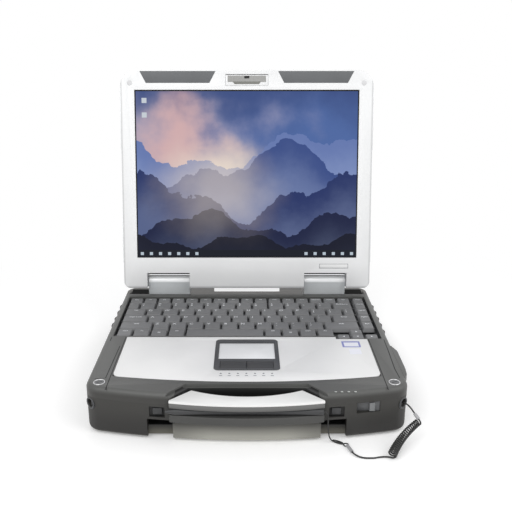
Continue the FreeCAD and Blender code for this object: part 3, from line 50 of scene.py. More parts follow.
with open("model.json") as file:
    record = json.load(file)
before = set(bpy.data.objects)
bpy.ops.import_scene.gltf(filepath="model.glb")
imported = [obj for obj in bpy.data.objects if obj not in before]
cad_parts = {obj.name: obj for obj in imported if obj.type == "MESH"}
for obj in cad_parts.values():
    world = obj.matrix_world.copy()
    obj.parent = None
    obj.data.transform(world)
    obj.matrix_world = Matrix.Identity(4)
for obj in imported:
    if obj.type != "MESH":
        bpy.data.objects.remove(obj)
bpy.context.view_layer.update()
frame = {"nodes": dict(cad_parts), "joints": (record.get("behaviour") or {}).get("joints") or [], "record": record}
MM = 0.001
RECORD = frame["record"]
LID_JOINT = next(joint for joint in frame["joints"] if joint["name"] == "lid_hinge")
HINGE = Vector(LID_JOINT["pos_m"])
LID_LEAN = math.radians(-LID_JOINT["range_deg"][0] - 90)
SLOTS = {entry["node"]: entry["material_slot"] for entry in RECORD["subparts"]}
BODIES = {node: body for body, members in RECORD["behaviour"]["bodies"].items() for node in members}


def size(name, about, value):
    """A length that a user can change, in metres."""
    return bpy.props.FloatProperty(name=name, description=about, default=value, unit="LENGTH", precision=5)


def tint(name, about, value):
    """A colour that a user can change."""
    return bpy.props.FloatVectorProperty(
        name=name, description=about, default=value, subtype="COLOR", size=3, min=0, max=1
    )


class NotebookColours(bpy.types.PropertyGroup):
    """Colours of the notebook's finishes."""

    case: tint("Case", "Textured shell of the base", (0.030, 0.029, 0.026))
    deck: tint("Deck", "Frame round the keyboard", (0.078, 0.079, 0.076))
    silver: tint("Silver", "Painted palm rest", (0.77, 0.772, 0.772))
    hinge: tint("Hinge", "Blue-grey of the hinge covers", (0.64, 0.665, 0.68))
    grip: tint("Grip", "Rubber of the carry handle", (0.050, 0.050, 0.048))
    keys: tint("Keys", "Key caps", (0.160, 0.162, 0.167))
    legends: tint("Legends", "Printing on the keys", (0.78, 0.80, 0.82))
    dark: tint("Dark plastic", "Touchpad frame, tray and stylus", (0.034, 0.035, 0.037))
    pad: tint("Touchpad", "Sensing surface", (0.76, 0.77, 0.785))
    cord: tint("Cord", "Jacket of the tether", (0.018, 0.018, 0.018))


class NotebookSizes(bpy.types.PropertyGroup):
    """Small sizes that only the looks need."""

    shell_edge: size("Shell edge", "Rounding of the shells' edges", 0.9 * MM)
    trim_edge: size("Trim edge", "Rounding of small fittings", 0.35 * MM)
    key_corner: size("Key corner", "Corner radius of a key's top", 1.3 * MM)
    key_dish: size("Key dish", "Depth of the hollow in a key's top", 0.35 * MM)
    key_inset: size("Key inset", "How much narrower a key's top is on each side", 1.3 * MM)
    letter: size("Letter", "Height of a key's letter", 5.0 * MM)
    word: size("Word", "Height of a key's word", 3.3 * MM)
    cord_radius: size("Cord radius", "Half the thickness of the tether", 0.75 * MM)
    string_radius: size("String radius", "Half the thickness of the stylus string", 0.6 * MM)


class NotebookStage(bpy.types.PropertyGroup):
    """Camera, floor and light."""

    camera_place: bpy.props.FloatVectorProperty(
        name="Camera",
        description="Where the camera stands",
        default=(0, -0.6787, 0.3648),
        subtype="TRANSLATION",
    )
    camera_pitch: bpy.props.FloatProperty(
        name="Pitch",
        description="How far the camera looks down",
        default=math.radians(18.42),
        subtype="ANGLE",
    )
    lens: bpy.props.FloatProperty(name="Lens", description="Focal length in millimetres", default=48.6)
    shift: bpy.props.FloatProperty(name="Shift", description="Sideways shift of the picture", default=0.0179)
    floor: tint("Floor", "Pale table top", (0.96, 0.96, 0.96))


def maths(operation, swapped=False):
    """A method that sets a maths node on a wire and any other value."""

    def method(wire, *others):
        values = [*others, wire] if swapped else [wire, *others]
        return wire.nodes.node("ShaderNodeMath", values, operation=operation)

    return method


class Wire:
    """A shader value that takes part in arithmetic."""

    __add__ = __radd__ = maths("ADD")
    __sub__ = maths("SUBTRACT")
    __rsub__ = maths("SUBTRACT", swapped=True)
    __mul__ = __rmul__ = maths("MULTIPLY")
    __truediv__ = maths("DIVIDE")
    __gt__ = maths("GREATER_THAN")
    __lt__ = maths("LESS_THAN")
    __abs__ = maths("ABSOLUTE")
    least = maths("MINIMUM")
    most = maths("MAXIMUM")
    sine = maths("SINE")
    root = maths("SQRT")
    floor = maths("FLOOR")

    def __init__(self, nodes, socket):
        self.nodes = nodes
        self.socket = socket

    def smooth(self, low, high):
        """Rises from 0 to 1 between two values."""
        inputs = {"Value": self, "From Min": low, "From Max": high}
        return self.nodes.node("ShaderNodeMapRange", inputs, interpolation_type="SMOOTHSTEP")

    def between(self, low, high):
        """1 between two values, otherwise 0."""
        return (self > low) * (self < high)


class Nodes:
    """Builds nodes in one shader tree."""

    def __init__(self, tree):
        self.tree = tree

    def feed(self, socket, value):
        """Links a wire to a socket, or sets the socket's value."""
        if isinstance(value, Wire):
            self.tree.links.new(value.socket, socket)
        else:
            socket.default_value = value

    def add(self, kind, inputs=None, **settings):
        """A new node with its settings and the values or links of its sockets."""
        node = self.tree.nodes.new(kind)
        for key, value in settings.items():
            setattr(node, key, value)
        pairs = enumerate(inputs) if isinstance(inputs, list) else (inputs or {}).items()
        for key, value in pairs:
            self.feed(node.inputs[key], value)
        return node

    def node(self, kind, inputs=None, output=0, **settings):
        """One output of a new node."""
        return Wire(self, self.add(kind, inputs, **settings).outputs[output])

    def place(self):
        return self.node("ShaderNodeTexCoord", output="Object")

    def axes(self):
        """The three parts of a place on the piece."""
        split = self.add("ShaderNodeSeparateXYZ", [self.place()])
        return [Wire(self, socket) for socket in split.outputs]

    def noise(self, scale, detail, place=None):
        inputs = {"Vector": place or self.place(), "Scale": scale, "Detail": detail}
        return self.node("ShaderNodeTexNoise", inputs)

    def mix(self, factor, a, b):
        """A colour between two colours."""
        return self.node("ShaderNodeMix", {0: factor, 6: a, 7: b}, output=2, data_type="RGBA")


finishes = {}
CLOUD_SCALE = 18.0
GRAIN_BUMP = 0.2 * MM
SCRATCH_BUMP = 0.1 * MM
SCRATCH_SCALE = 900.0
SCRATCH_STRETCH = 40.0


class Finish(Nodes):
    """A procedural material with one principled shader."""

    def __init__(self, name, colour, roughness, metallic=0.0, **fixed):
        material = bpy.data.materials.new(name)
        material.use_nodes = True
        super().__init__(material.node_tree)
        self.shader = self.tree.nodes["Principled BSDF"]
        self.colour = (*colour, 1.0)
        self.set("Base Color", self.colour)
        self.set("Roughness", roughness)
        self.set("Metallic", metallic)
        for socket, value in fixed.items():
            self.set(socket.replace("_", " "), value)
        finishes[name] = material

    def set(self, socket, value):
        self.feed(self.shader.inputs[socket], value)

    def bump(self, height, strength, distance):
        inputs = {"Height": height, "Strength": strength, "Distance": distance}
        self.set("Normal", self.node("ShaderNodeBump", inputs))

    def shade(self, factor, low, high):
        """Varies the colour between two shares of its own brightness."""
        ends = []
        for share in (low, high):
            ends.append([min(1.0, channel * share) for channel in self.colour[:3]] + [1.0])
        self.set("Base Color", self.mix(factor, *ends))

    def tone(self, mask, colour):
        """Puts another colour where a mask is 1."""
        base = self.shader.inputs["Base Color"].links[0].from_socket
        self.set("Base Color", self.mix(mask, Wire(self, base), (*colour, 1)))


def grained(name, colour, roughness, grain, depth, wear=0.12, **fixed):
    """A finish with a fine moulded or sprayed grain and faint cloudy wear."""
    finish = Finish(name, colour, roughness, **fixed)
    fine = finish.noise(grain, 3.0)
    cloud = finish.noise(CLOUD_SCALE, 4.0)
    finish.shade((cloud * 0.7 + fine * 0.3).smooth(0.25, 0.75), 1 - wear, 1 + wear)
    finish.set("Roughness", roughness + (cloud - 0.5) * 0.16)
    finish.bump(fine, depth, GRAIN_BUMP)
    return finish


def brushed(name, colour, roughness, along):
    """Bare metal with fine scratches along one axis."""
    finish = Finish(name, colour, roughness, 1.0)
    stretch = [SCRATCH_SCALE] * 3
    stretch[along] = SCRATCH_STRETCH
    scaled = finish.node("ShaderNodeMapping", {"Vector": finish.place(), "Scale": stretch})
    lines = finish.noise(1.0, 3.0, scaled)
    finish.shade(lines, 0.85, 1.1)
    finish.set("Roughness", roughness + (lines - 0.5) * 0.25)
    finish.bump(lines, 0.15, SCRATCH_BUMP)


def lid_height(finish):
    """The sideways place, and the distance up the lid from the hinge line."""
    x, y, z = finish.axes()
    up = (y - HINGE.y) * math.sin(LID_LEAN) + (z - HINGE.z) * math.cos(LID_LEAN)
    return x, up


SCREEN = {"half_width": 133.1 * MM, "low": 30.6 * MM, "high": 230.3 * MM}
SKY_RIGHT = (0.085, 0.16, 0.42, 1)
SKY_LEFT = (0.42, 0.40, 0.55, 1)
SKY_TOP = (0.045, 0.085, 0.26, 1)
GLOW = (0.96, 0.84, 0.72, 1)
BLUSH = (0.86, 0.52, 0.48, 1)
MIST = (0.42, 0.52, 0.80, 1)
# Each ridge: level, swing, rate, start, colour and haze
RIDGES = (
    (0.64, 0.20, 6.5, 2.6, (0.15, 0.22, 0.50, 1), 0.40),
    (0.52, 0.26, 5.2, 4.4, (0.045, 0.085, 0.28, 1), 0.30),
    (0.36, 0.22, 7.4, 1.1, (0.018, 0.036, 0.15, 1), 0.22),
    (0.21, 0.13, 9.5, 5.0, (0.008, 0.014, 0.060, 1), 0.14),
    (0.10, 0.07, 12.0, 2.0, (0.004, 0.006, 0.022, 1), 0.05),
)
GLOW_AT = (0.36, 0.40)
BLUSH_AT = (0.20, 0.66)
BAR_HEIGHT = 0.045
BAR_CELLS = 24.0
BAR_COLOUR = (0.006, 0.009, 0.016, 1)
SQUARE_COLOUR = (0.55, 0.64, 0.72, 1)
ICON_COLOUR = (0.66, 0.72, 0.78, 1)
EDGE_COLOUR = (0.012, 0.013, 0.015, 1)


def screen_finish():
    """A lit display: misty hills before a warm glow, above a dark task bar with plain squares."""
    finish = Finish("display_picture", (0.004, 0.004, 0.005), 0.45, Specular_IOR_Level=0.12)
    x, up = lid_height(finish)
    u = (x + SCREEN["half_width"]) / (2 * SCREEN["half_width"])
    v = (up - SCREEN["low"]) / (SCREEN["high"] - SCREEN["low"])
    drift = finish.noise(22.0, 5.0) - 0.5
    wide = (u - GLOW_AT[0]) * 1.1
    tall = v - GLOW_AT[1]
    away = (wide * wide + tall * tall).root()
    glow = 1 - (away + drift * 0.22).smooth(0.04, 0.40)
    blush = 1 - (abs(u - BLUSH_AT[0]) + abs(v - BLUSH_AT[1]) * 0.8 + drift * 0.5).smooth(0.05, 0.36)
    colour = finish.mix((u + drift * 0.7).smooth(0.15, 0.75), SKY_LEFT, SKY_RIGHT)
    colour = finish.mix((v + drift * 0.4).smooth(0.70, 1.05), colour, SKY_TOP)
    colour = finish.mix(blush * 0.75, colour, BLUSH)
    colour = finish.mix(glow, colour, GLOW)
    for level, swing, rate, start, hue, haze in RIDGES:
        wave = (u * rate + start).sine() * 0.5 + (u * rate * 2.7 + start).sine() * 0.22
        rough = (finish.noise(rate * 12.0, 4.0) - 0.5) * 0.5
        line = (wave + rough) * swing + level
        depth = (line - v).smooth(0.0, 0.30)
        misty = finish.mix(depth * haze, hue, MIST)
        lit = finish.mix(glow * haze * 1.5, misty, GLOW)
        colour = finish.mix(v < line, colour, lit)
    colour = finish.mix(v < BAR_HEIGHT, colour, BAR_COLOUR)
    cell = u * BAR_CELLS
    square = (cell - cell.floor()).between(0.34, 0.68) * v.between(0.014, 0.032)
    shown = (u.between(0.0, 0.29) + u.between(0.75, 1.0)).least(1)
    colour = finish.mix(square * shown, colour, SQUARE_COLOUR)
    icon = u.between(0.030, 0.052) * (v.between(0.925, 0.955) + v.between(0.84, 0.87)).least(1)
    colour = finish.mix(icon, colour, ICON_COLOUR)
    inside = u.between(0.004, 0.996) * v.between(0.006, 0.994)
    finish.set("Emission Color", finish.mix(inside, EDGE_COLOUR, colour))
    finish.set("Emission Strength", 0.82)


DECK_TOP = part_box("palm_rest_plate")[1].z
FAR = 200
# Bounds in millimetres: distance from the middle, depth and height
BAY = ((-1, 66), (-126, -108.6))
CHIN = ((-1, 68.4), (-FAR, -112), (-FAR, 20.4))
# Places that get painted shade: the handle's bay, the hollows beside it, and the gap between the body and the
# handle
HOLLOWS = (
    (*BAY, (19.4, FAR)),
    ((67, 92.5), (-115.6, -98), (11, 22.4)),
    ((74.8, 89.8), (-123, -110), (24, 35.5)),
    ((66, 70), (-FAR, -112), (19, 37.5)),
)
# The foot of the notches, where light from the table is painted
FOOT_STEP = ((67, 92.5), (-117, -98), (-FAR, 11))
# Colours of painted shade
PAINTED_SHADE = (0.012, 0.012, 0.012)
HOLLOW_PAINTED_SHADE = (0.007, 0.007, 0.007)


def within(axes, bounds):
    """1 inside a block given by low and high bounds in millimetres, otherwise 0."""
    return math.prod(axis.between(low * MM, high * MM) for axis, (low, high) in zip(axes, bounds))


def deck_finish(colours):
    """The deck's satin grain, with painted shade on its faces below the top and in the handle's bay, and a painted
    shadow in the front of the hinge trough.
    """
    finish = grained("deck", colours.deck, 0.46, 2600.0, 0.22)
    x, y, z = finish.axes()
    # Painted shade: the deck's faces below its top are darker.
    finish.tone(1 - z.smooth(DECK_TOP - 6.5 * MM, DECK_TOP - 1.6 * MM), (0.032, 0.031, 0.028))
    # Painted shade in the handle's bay.
    finish.tone(within((abs(x), y), BAY) * (z < DECK_TOP - 1.4 * MM), PAINTED_SHADE)
    shelf = (y > 118 * MM) * (z < DECK_TOP - 1.2 * MM)
    finish.tone(shelf, (0.060, 0.056, 0.051))
    # Painted shadow along the front of the trough, next to the deck's rear step.
    finish.tone(shelf * (1 - y.smooth(121 * MM, 129 * MM)), PAINTED_SHADE)


def case_finish(colours):
    """The lower shell's coarse grain, with painted shade towards the bottom, a painted reflection of the floor
    along its lowest edge and on the chin, painted shade in the hollows beside and behind the handle, and painted
    light at the foot of the notches.
    """
    finish = grained("case", colours.case, 0.55, 2200.0, 0.30)
    x, y, z = finish.axes()
    wide = abs(x)
    place = (wide, y, z)
    # Painted shade: darker towards the bottom.
    finish.tone((1 - z.smooth(10 * MM, 36 * MM)) * 0.8, (0.011, 0.010, 0.009))
    # Painted reflection of the pale floor along the lowest edge.
    finish.tone((1 - z.smooth(2.0 * MM, 5.5 * MM)) * 0.7, (0.075, 0.075, 0.058))
    # Painted reflection of the pale floor on the chin, paler towards the bottom and the middle.
    chin_reflection = (1 - z.smooth(2 * MM, 26 * MM)) * (1 - wide.smooth(30 * MM, 70 * MM) * 0.45)
    finish.tone(within(place, CHIN) * chin_reflection, (0.38, 0.375, 0.335))
    # Painted shade in the hollows beside and behind the handle and in the gap between the body and the handle.
    for bounds in HOLLOWS:
        finish.tone(within(place, bounds), HOLLOW_PAINTED_SHADE)
    # Painted light from the table at the foot of the notches.
    finish.tone(within(place, FOOT_STEP) * (1 - z.smooth(2 * MM, 12 * MM)), (0.12, 0.115, 0.092))


def grip_finish(colours):
    """The handle's rubber, with a painted highlight along its upper edge."""
    finish = grained("grip", colours.grip, 0.55, 1500.0, 0.35)
    z = finish.axes()[2]
    # Painted highlight where the rounded upper edge catches the light.
    finish.tone(z.smooth(35 * MM, 41 * MM) * 0.9, (0.15, 0.15, 0.147))


def lid_finish():
    """The lid's paint, in the shade along its lower edge and its sides."""
    finish = grained("lid_silver", (0.79, 0.795, 0.80), 0.46, 3000.0, 0.12, metallic=0.1, wear=0.035)
    x, up = lid_height(finish)
    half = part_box("lid_bezel")[1].x
    finish.tone(abs(x).smooth(half - 2.4 * MM, half - 1.0 * MM) * 0.45, (0.36, 0.365, 0.37))
    finish.tone((1 - up.smooth(2 * MM, 30 * MM)) * 0.22, (0.50, 0.505, 0.51))
    finish.tone((1 - up.smooth(-7.6 * MM, -3.6 * MM)) * 0.8, (0.26, 0.265, 0.27))


def hinge_finish(colours):
    """The hinge covers' paint, with a painted highlight along the top of the barrel."""
    finish = grained("hinge", colours.hinge, 0.34, 3200.0, 0.10, metallic=0.15)
    z = finish.axes()[2]
    # Painted highlight along the top of the barrel.
    finish.tone(z.smooth(HINGE.z - 0.8 * MM, HINGE.z + 1.2 * MM), (0.90, 0.91, 0.92))


# Each plain finish: name, colour, roughness, fineness of the grain and its depth
PLAIN_FINISHES = (
    ("sleeve", (0.36, 0.36, 0.37), 0.3, 2500.0, 0.1),
    ("latch_face", (0.31, 0.31, 0.30), 0.45, 3000.0, 0.12),
    ("latch_lip", (0.17, 0.17, 0.155), 0.45, 3000.0, 0.12),
    ("pad_frame", (0.052, 0.054, 0.058), 0.45, 2600.0, 0.22),
    ("antenna", (0.115, 0.120, 0.126), 0.50, 2400.0, 0.25),
    ("bumper", (0.64, 0.64, 0.65), 0.5, 1500.0, 0.1),
    ("switch", (0.105, 0.108, 0.112), 0.45, 2400.0, 0.2),
    ("slider", (0.17, 0.175, 0.18), 0.40, 2400.0, 0.2),
    ("rubber", (0.02, 0.02, 0.02), 0.7, 1200.0, 0.3),
    ("seam", (0.008, 0.008, 0.008), 0.7, 1200.0, 0.2),
    ("board", (0.02, 0.10, 0.04), 0.4, 900.0, 0.3),
    ("print_grey", (0.19, 0.20, 0.22), 0.6, 2000.0, 0.05),
    ("label_white", (0.78, 0.79, 0.86), 0.35, 1500.0, 0.05),
    ("label_blue", (0.22, 0.24, 0.52), 0.35, 1500.0, 0.05),
    ("lamp", (0.46, 0.48, 0.46), 0.4, 1500.0, 0.05),
)


def make_finishes(colours):
    for make in (case_finish, deck_finish, grip_finish, hinge_finish):
        make(colours)
    lid_finish()
    screen_finish()
    for plain in PLAIN_FINISHES:
        grained(*plain)
    grained("silver", colours.silver, 0.48, 3600.0, 0.10, metallic=0.12, wear=0.05)
    grained("lid_back", (0.60, 0.61, 0.62), 0.42, 3000.0, 0.14, metallic=0.3, wear=0.05)
    grained("bright_plate", (0.82, 0.82, 0.81), 0.46, 3600.0, 0.10, metallic=0.05, wear=0.04)
    grained("liner", (0.010, 0.010, 0.010), 0.8, 1200.0, 0.2, Specular_IOR_Level=0.06)
    grained("keys", colours.keys, 0.50, 3000.0, 0.22)
    grained("dark", colours.dark, 0.48, 2600.0, 0.22)
    grained("pad", colours.pad, 0.42, 4000.0, 0.10)
    grained("cord", colours.cord, 0.42, 2500.0, 0.2)
    grained("legend", colours.legends, 0.55, 2000.0, 0.05)
    brushed("steel", (0.56, 0.56, 0.57), 0.30, 0)
    brushed("aluminium", (0.72, 0.73, 0.74), 0.34, 1)


NODE_FINISH = {
    "case_grey": "case",
    "deck_grey": "deck",
    "silver_paint": "silver",
    "silver_grey_paint": "hinge",
    "grip_rubber": "grip",
    "foot_rubber": "rubber",
    "key_plastic": "keys",
    "dark_plastic": "dark",
    "antenna_plastic": "antenna",
    "pad_plastic": "pad",
    "screen_glass": "display_picture",
    "steel": "steel",
    "aluminium": "aluminium",
    "board": "board",
    "cell_plastic": "dark",
    "cord": "cord",
}
OTHER_FINISH = {
    "lid_back_cover": "lid_back",
    "lid_bezel": "lid_silver",
    "lid_latch": "lid_silver",
    "handle_top_plate": "bright_plate",
    "touchpad_bezel": "pad_frame",
    "power_switch_plate": "switch",
    "power_switch_slider": "slider",
    "tether_upper_sleeve": "sleeve",
    "tether_lower_sleeve": "sleeve",
    "tether_bars": "dark",
    "lid_bumpers": "bumper",
}


def finish_of(node):
    return OTHER_FINISH.get(node) or NODE_FINISH[SLOTS[node]]


def linked(name, data):
    """A new object in the scene."""
    piece = bpy.data.objects.new(name, data)
    bpy.context.scene.collection.objects.link(piece)
    return piece


def evaluated(piece):
    """A new mesh of a piece with its modifiers applied."""
    graph = bpy.context.evaluated_depsgraph_get()
    return bpy.data.meshes.new_from_object(piece.evaluated_get(graph))


def mesh_of(shape):
    """A mesh with the faces of a shape, which it frees."""
    mesh = bpy.data.meshes.new("shape")
    shape.to_mesh(mesh)
    shape.free()
    return mesh


def smooth(mesh, degrees=32):
    mesh.shade_smooth()
    mesh.set_sharp_from_angle(angle=math.radians(degrees))


def bevelled(piece, width, segments):
    """Rounds a piece's edges."""
    bevel = piece.modifiers.new("edges", "BEVEL")
    bevel.width = width
    bevel.segments = segments
    bevel.limit_method = "ANGLE"
    bevel.angle_limit = math.radians(38)
    mesh = evaluated(piece)
    piece.modifiers.clear()
    piece.data = mesh
    smooth(mesh)


def object_from(name, mesh, finish, body="base", edge=0.0, segments=2):
    """Links a mesh with its material, body and slot, and rounds its edges if asked."""
    mesh.name = name
    piece = linked(name, mesh)
    mesh.materials.clear()
    mesh.materials.append(finishes[finish])
    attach(piece, body)
    if edge:
        bevelled(piece, edge, segments)
    return piece


def shape_of(node):
    """The faces of a solid, with their shared points joined."""
    shape = bmesh.new()
    shape.from_mesh(frame["nodes"][node].data)
    bmesh.ops.remove_doubles(shape, verts=shape.verts, dist=1e-6)
    return shape


def eased(node, width, segments=3):
    """A copy of a solid with eased edges, which stands for it."""
    shape = shape_of(node)
    bmesh.ops.dissolve_limit(shape, angle_limit=math.radians(0.4), verts=shape.verts, edges=shape.edges)
    mesh = mesh_of(shape)
    piece = object_from(node + "_eased", mesh, finish_of(node), BODIES[node], width, segments)
    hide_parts(node)


def islands(node):
    """The bounds of each separate solid in a node, as pairs of corners, from left to right."""
    shape = shape_of(node)
    left = set(shape.verts)
    found = []
    while left:
        front = [left.pop()]
        corners = []
        while front:
            vert = front.pop()
            corners.append(vert.co.copy())
            for edge in vert.link_edges:
                other = edge.other_vert(vert)
                if other in left:
                    left.remove(other)
                    front.append(other)
        found.append(tuple(Vector(pick(axis) for axis in zip(*corners)) for pick in (min, max)))
    shape.free()
    return sorted(found, key=lambda box: (round(box[0].x, 3), box[0].y))


def turns(count):
    """The angles of a full turn in equal steps."""
    return [2 * math.pi * n / count for n in range(count)]


def oblong(x0, x1, y0, y1):
    """The corners of a rectangle, counter-clockwise."""
    return [(x0, y0), (x1, y0), (x1, y1), (x0, y1)]


def rounded(half_x, half_y, corner, steps=4):
    """The outline of a rounded rectangle about its middle, counter-clockwise."""
    corner = min(corner, half_x, half_y)
    points = []
    for quarter, (sx, sy) in enumerate(((1, 1), (-1, 1), (-1, -1), (1, -1))):
        for n in range(steps + 1):
            angle = (quarter + n / steps) * math.pi / 2
            x = sx * (half_x - corner) + corner * math.cos(angle)
            y = sy * (half_y - corner) + corner * math.sin(angle)
            points.append((x, y))
    return points


def disc(radius, steps=8):
    """The outline of a circle about its middle."""
    return rounded(radius, radius, radius, steps)


def at_height(outline, height):
    return [Vector((x, y, height)) for x, y in outline]


def solid(rings, hoop=False):
    """A mesh through rings of points, which is joined to itself as a hoop or has both ends closed."""
    shape = bmesh.new()
    loops = [[shape.verts.new(point) for point in ring] for ring in rings]
    if hoop:
        loops.append(loops[0])
    for lower, upper in zip(loops, loops[1:]):
        for n in range(len(lower)):
            m = (n + 1) % len(lower)
            shape.faces.new((lower[n], lower[m], upper[m], upper[n]))
    if not hoop:
        shape.faces.new(loops[-1])
        shape.faces.new(list(reversed(loops[0])))
    bmesh.ops.recalc_face_normals(shape, faces=shape.faces)
    return mesh_of(shape)


def prism(outline, low, high):
    """A flat plate from an outline."""
    return solid([at_height(outline, height) for height in (low, high)])


def block(xs, ys, zs):
    """A plain block between bounds in millimetres."""
    x, y, z = (sorted(bound * MM for bound in bounds) for bounds in (xs, ys, zs))
    return prism(oblong(*x, *y), *z)


# The rings of a key cap, outside and inside its rim: share and drop
CAP_RIM = ((0.72, 0.85), (0.88, 0.30), (1.10, 0.05), (1.35, 0.0))
CAP_DISH = ((0.62, 0.7), (0.3, 0.95))
CAP_LEAN = Vector((0, 0.5 * MM, 0))
CAP_SHARP = 40


def cap_mesh(width, depth, height, sizes):
    """A key cap about its own middle: tapered sides, a soft rim and a shallow dish."""
    half_x = width / 2
    half_y = depth / 2
    corner = sizes.key_corner
    rings = [at_height(rounded(half_x, half_y, 0.6 * MM), 0)]
    for share, drop in CAP_RIM:
        top_x = half_x - sizes.key_inset * share
        top_y = half_y - sizes.key_inset * share
        ring = at_height(rounded(top_x, top_y, corner), height - drop * MM)
        rings.append([point + CAP_LEAN * min(1, share) for point in ring])
    for share, drop in CAP_DISH:
        outline = rounded(top_x * share, top_y * share, corner * share)
        rings.append([point + CAP_LEAN for point in at_height(outline, height - sizes.key_dish * drop)])
    mesh = solid(rings)
    smooth(mesh, CAP_SHARP)
    return mesh


def repeat_tree():
    """A node tree that sets one shape at each point of a mesh."""
    tree = bpy.data.node_groups.new("set_at_points", "GeometryNodeTree")
    socket = tree.interface.new_socket
    socket("Geometry", in_out="INPUT", socket_type="NodeSocketGeometry")
    shape = socket("Shape", in_out="INPUT", socket_type="NodeSocketObject")
    finish = socket("Finish", in_out="INPUT", socket_type="NodeSocketMaterial")
    socket("Geometry", in_out="OUTPUT", socket_type="NodeSocketGeometry")
    add = tree.nodes.new
    entry = add("NodeGroupInput")
    info = add("GeometryNodeObjectInfo")
    instance = add("GeometryNodeInstanceOnPoints")
    realize = add("GeometryNodeRealizeInstances")
    paint = add("GeometryNodeSetMaterial")
    leave = add("NodeGroupOutput")
    links = (
        (entry, "Geometry", instance, "Points"),
        (entry, "Shape", info, "Object"),
        (info, "Geometry", instance, "Instance"),
        (instance, "Instances", realize, "Geometry"),
        (realize, "Geometry", paint, "Geometry"),
        (entry, "Finish", paint, "Material"),
        (paint, "Geometry", leave, "Geometry"),
    )
    for source, output, target, door in links:
        tree.links.new(source.outputs[output], target.inputs[door])
    return tree, shape.identifier, finish.identifier


def repeated(mesh, places, finish):
    """One mesh that holds a copy of a shape at each place."""
    tree, shape_socket, finish_socket = repeat_tree()
    points = bpy.data.meshes.new("points")
    points.from_pydata([tuple(p) for p in places], [], [])
    pattern = linked("pattern", mesh)
    holder = linked("holder", points)
    modifier = holder.modifiers.new("repeat", "NODES")
    modifier.node_group = tree
    modifier[shape_socket] = pattern
    modifier[finish_socket] = finishes[finish]
    result = evaluated(holder)
    for item in (pattern, holder):
        bpy.data.objects.remove(item)
    bpy.data.node_groups.remove(tree)
    return result


def joined(meshes):
    """Several meshes as one."""
    shape = bmesh.new()
    for mesh in meshes:
        shape.from_mesh(mesh)
    return mesh_of(shape)


def lid_point(x, depth, height):
    """A place given on the upright lid, in millimetres, as it stands open."""
    y = depth * math.cos(LID_LEAN) + height * math.sin(LID_LEAN)
    z = height * math.cos(LID_LEAN) - depth * math.sin(LID_LEAN)
    return HINGE + Vector((x, y, z)) * MM


def on_lid(outline, front, back):
    """A plate on the lid from an outline of sideways places and heights."""
    return solid([[lid_point(x, depth, z) for x, z in outline] for depth in (front, back)])


def text_mesh(words, height):
    """Flat lettering as a mesh about its own middle."""
    curve = bpy.data.curves.new("words", "FONT")
    curve.body = words
    curve.size = height
    curve.align_x = "CENTER"
    curve.align_y = "CENTER"
    curve.resolution_u = 2
    curve.offset = BOLD
    holder = linked("words", curve)
    mesh = evaluated(holder)
    bpy.data.objects.remove(holder)
    return mesh


def moved(mesh, place):
    mesh.transform(Matrix.Translation(place))
    return mesh


LEGENDS = {
    "function_row_keys": ["Esc"] + [f"F{n}" for n in range(1, 13)] + ["NumLk", "PrtSc", "Ins"],
    "number_row_keys": [
        "~ `", "! 1", "@ 2", "# 3", "$ 4", "% 5", "^ 6", "& 7", "* 8", "( 9", ") 0", "_ -", "+ =", "Backspace"
    ],
    "upper_letter_keys": ["Tab"] + list("QWERTYUIOP") + ["{ [", "} ]", "| \\"],
    "home_letter_keys": ["Caps Lock"] + list("ASDFGHJKL") + [": ;", "\" '"],
    "enter_key": ["Enter"],
    "lower_letter_keys": ["Shift"] + list("ZXCVBNM") + ["< ,", "> .", "? /", "Shift"],
    "bottom_row_keys": ["Ctrl", "Fn", "MARK", "Alt", "Alt", "MENU", "Ctrl", "Fn"],
    "space_bar": [""],
    "side_column_keys": ["End", "PgDn", "PgUp", "Home", "Del"],
    "arrow_keys": ["LEFT", "DOWN", "UP", "RIGHT"],
}
ARROWS = {"LEFT": 90, "DOWN": 180, "UP": 0, "RIGHT": 270}
MARK_REACH = 0.42
PRINT_LIFT = 0.04 * MM
BOLD = 0.08 * MM
# Places of the printing from the left and rear of a key's top
UPPER_AT = Vector((1.3, -2.2)) * MM
LOWER_AT = Vector((1.4, -7.0)) * MM
LETTER_AT = Vector((1.8, -3.4)) * MM
WORD_BACK = 3.2 * MM


def mark_mesh(word, sizes):
    """Small drawn marks: arrows, a menu of bars and four squares."""
    reach = sizes.word * MARK_REACH
    if word in ARROWS:
        mesh = prism([(-reach, -reach * 0.8), (reach, -reach * 0.8), (0, reach)], 0, PRINT_LIFT)
        mesh.transform(Matrix.Rotation(math.radians(ARROWS[word]), 4, "Z"))
        return mesh
    starts = (-reach, reach * 0.2)
    if word == "MENU":
        bars = [oblong(-reach, reach, y * reach, (y + 0.4) * reach) for y in (-1.0, -0.2, 0.6)]
    else:
        bars = [oblong(x, x + reach * 0.8, y, y + reach * 0.8) for x in starts for y in starts]
    return joined(prism(bar, 0, PRINT_LIFT) for bar in bars)


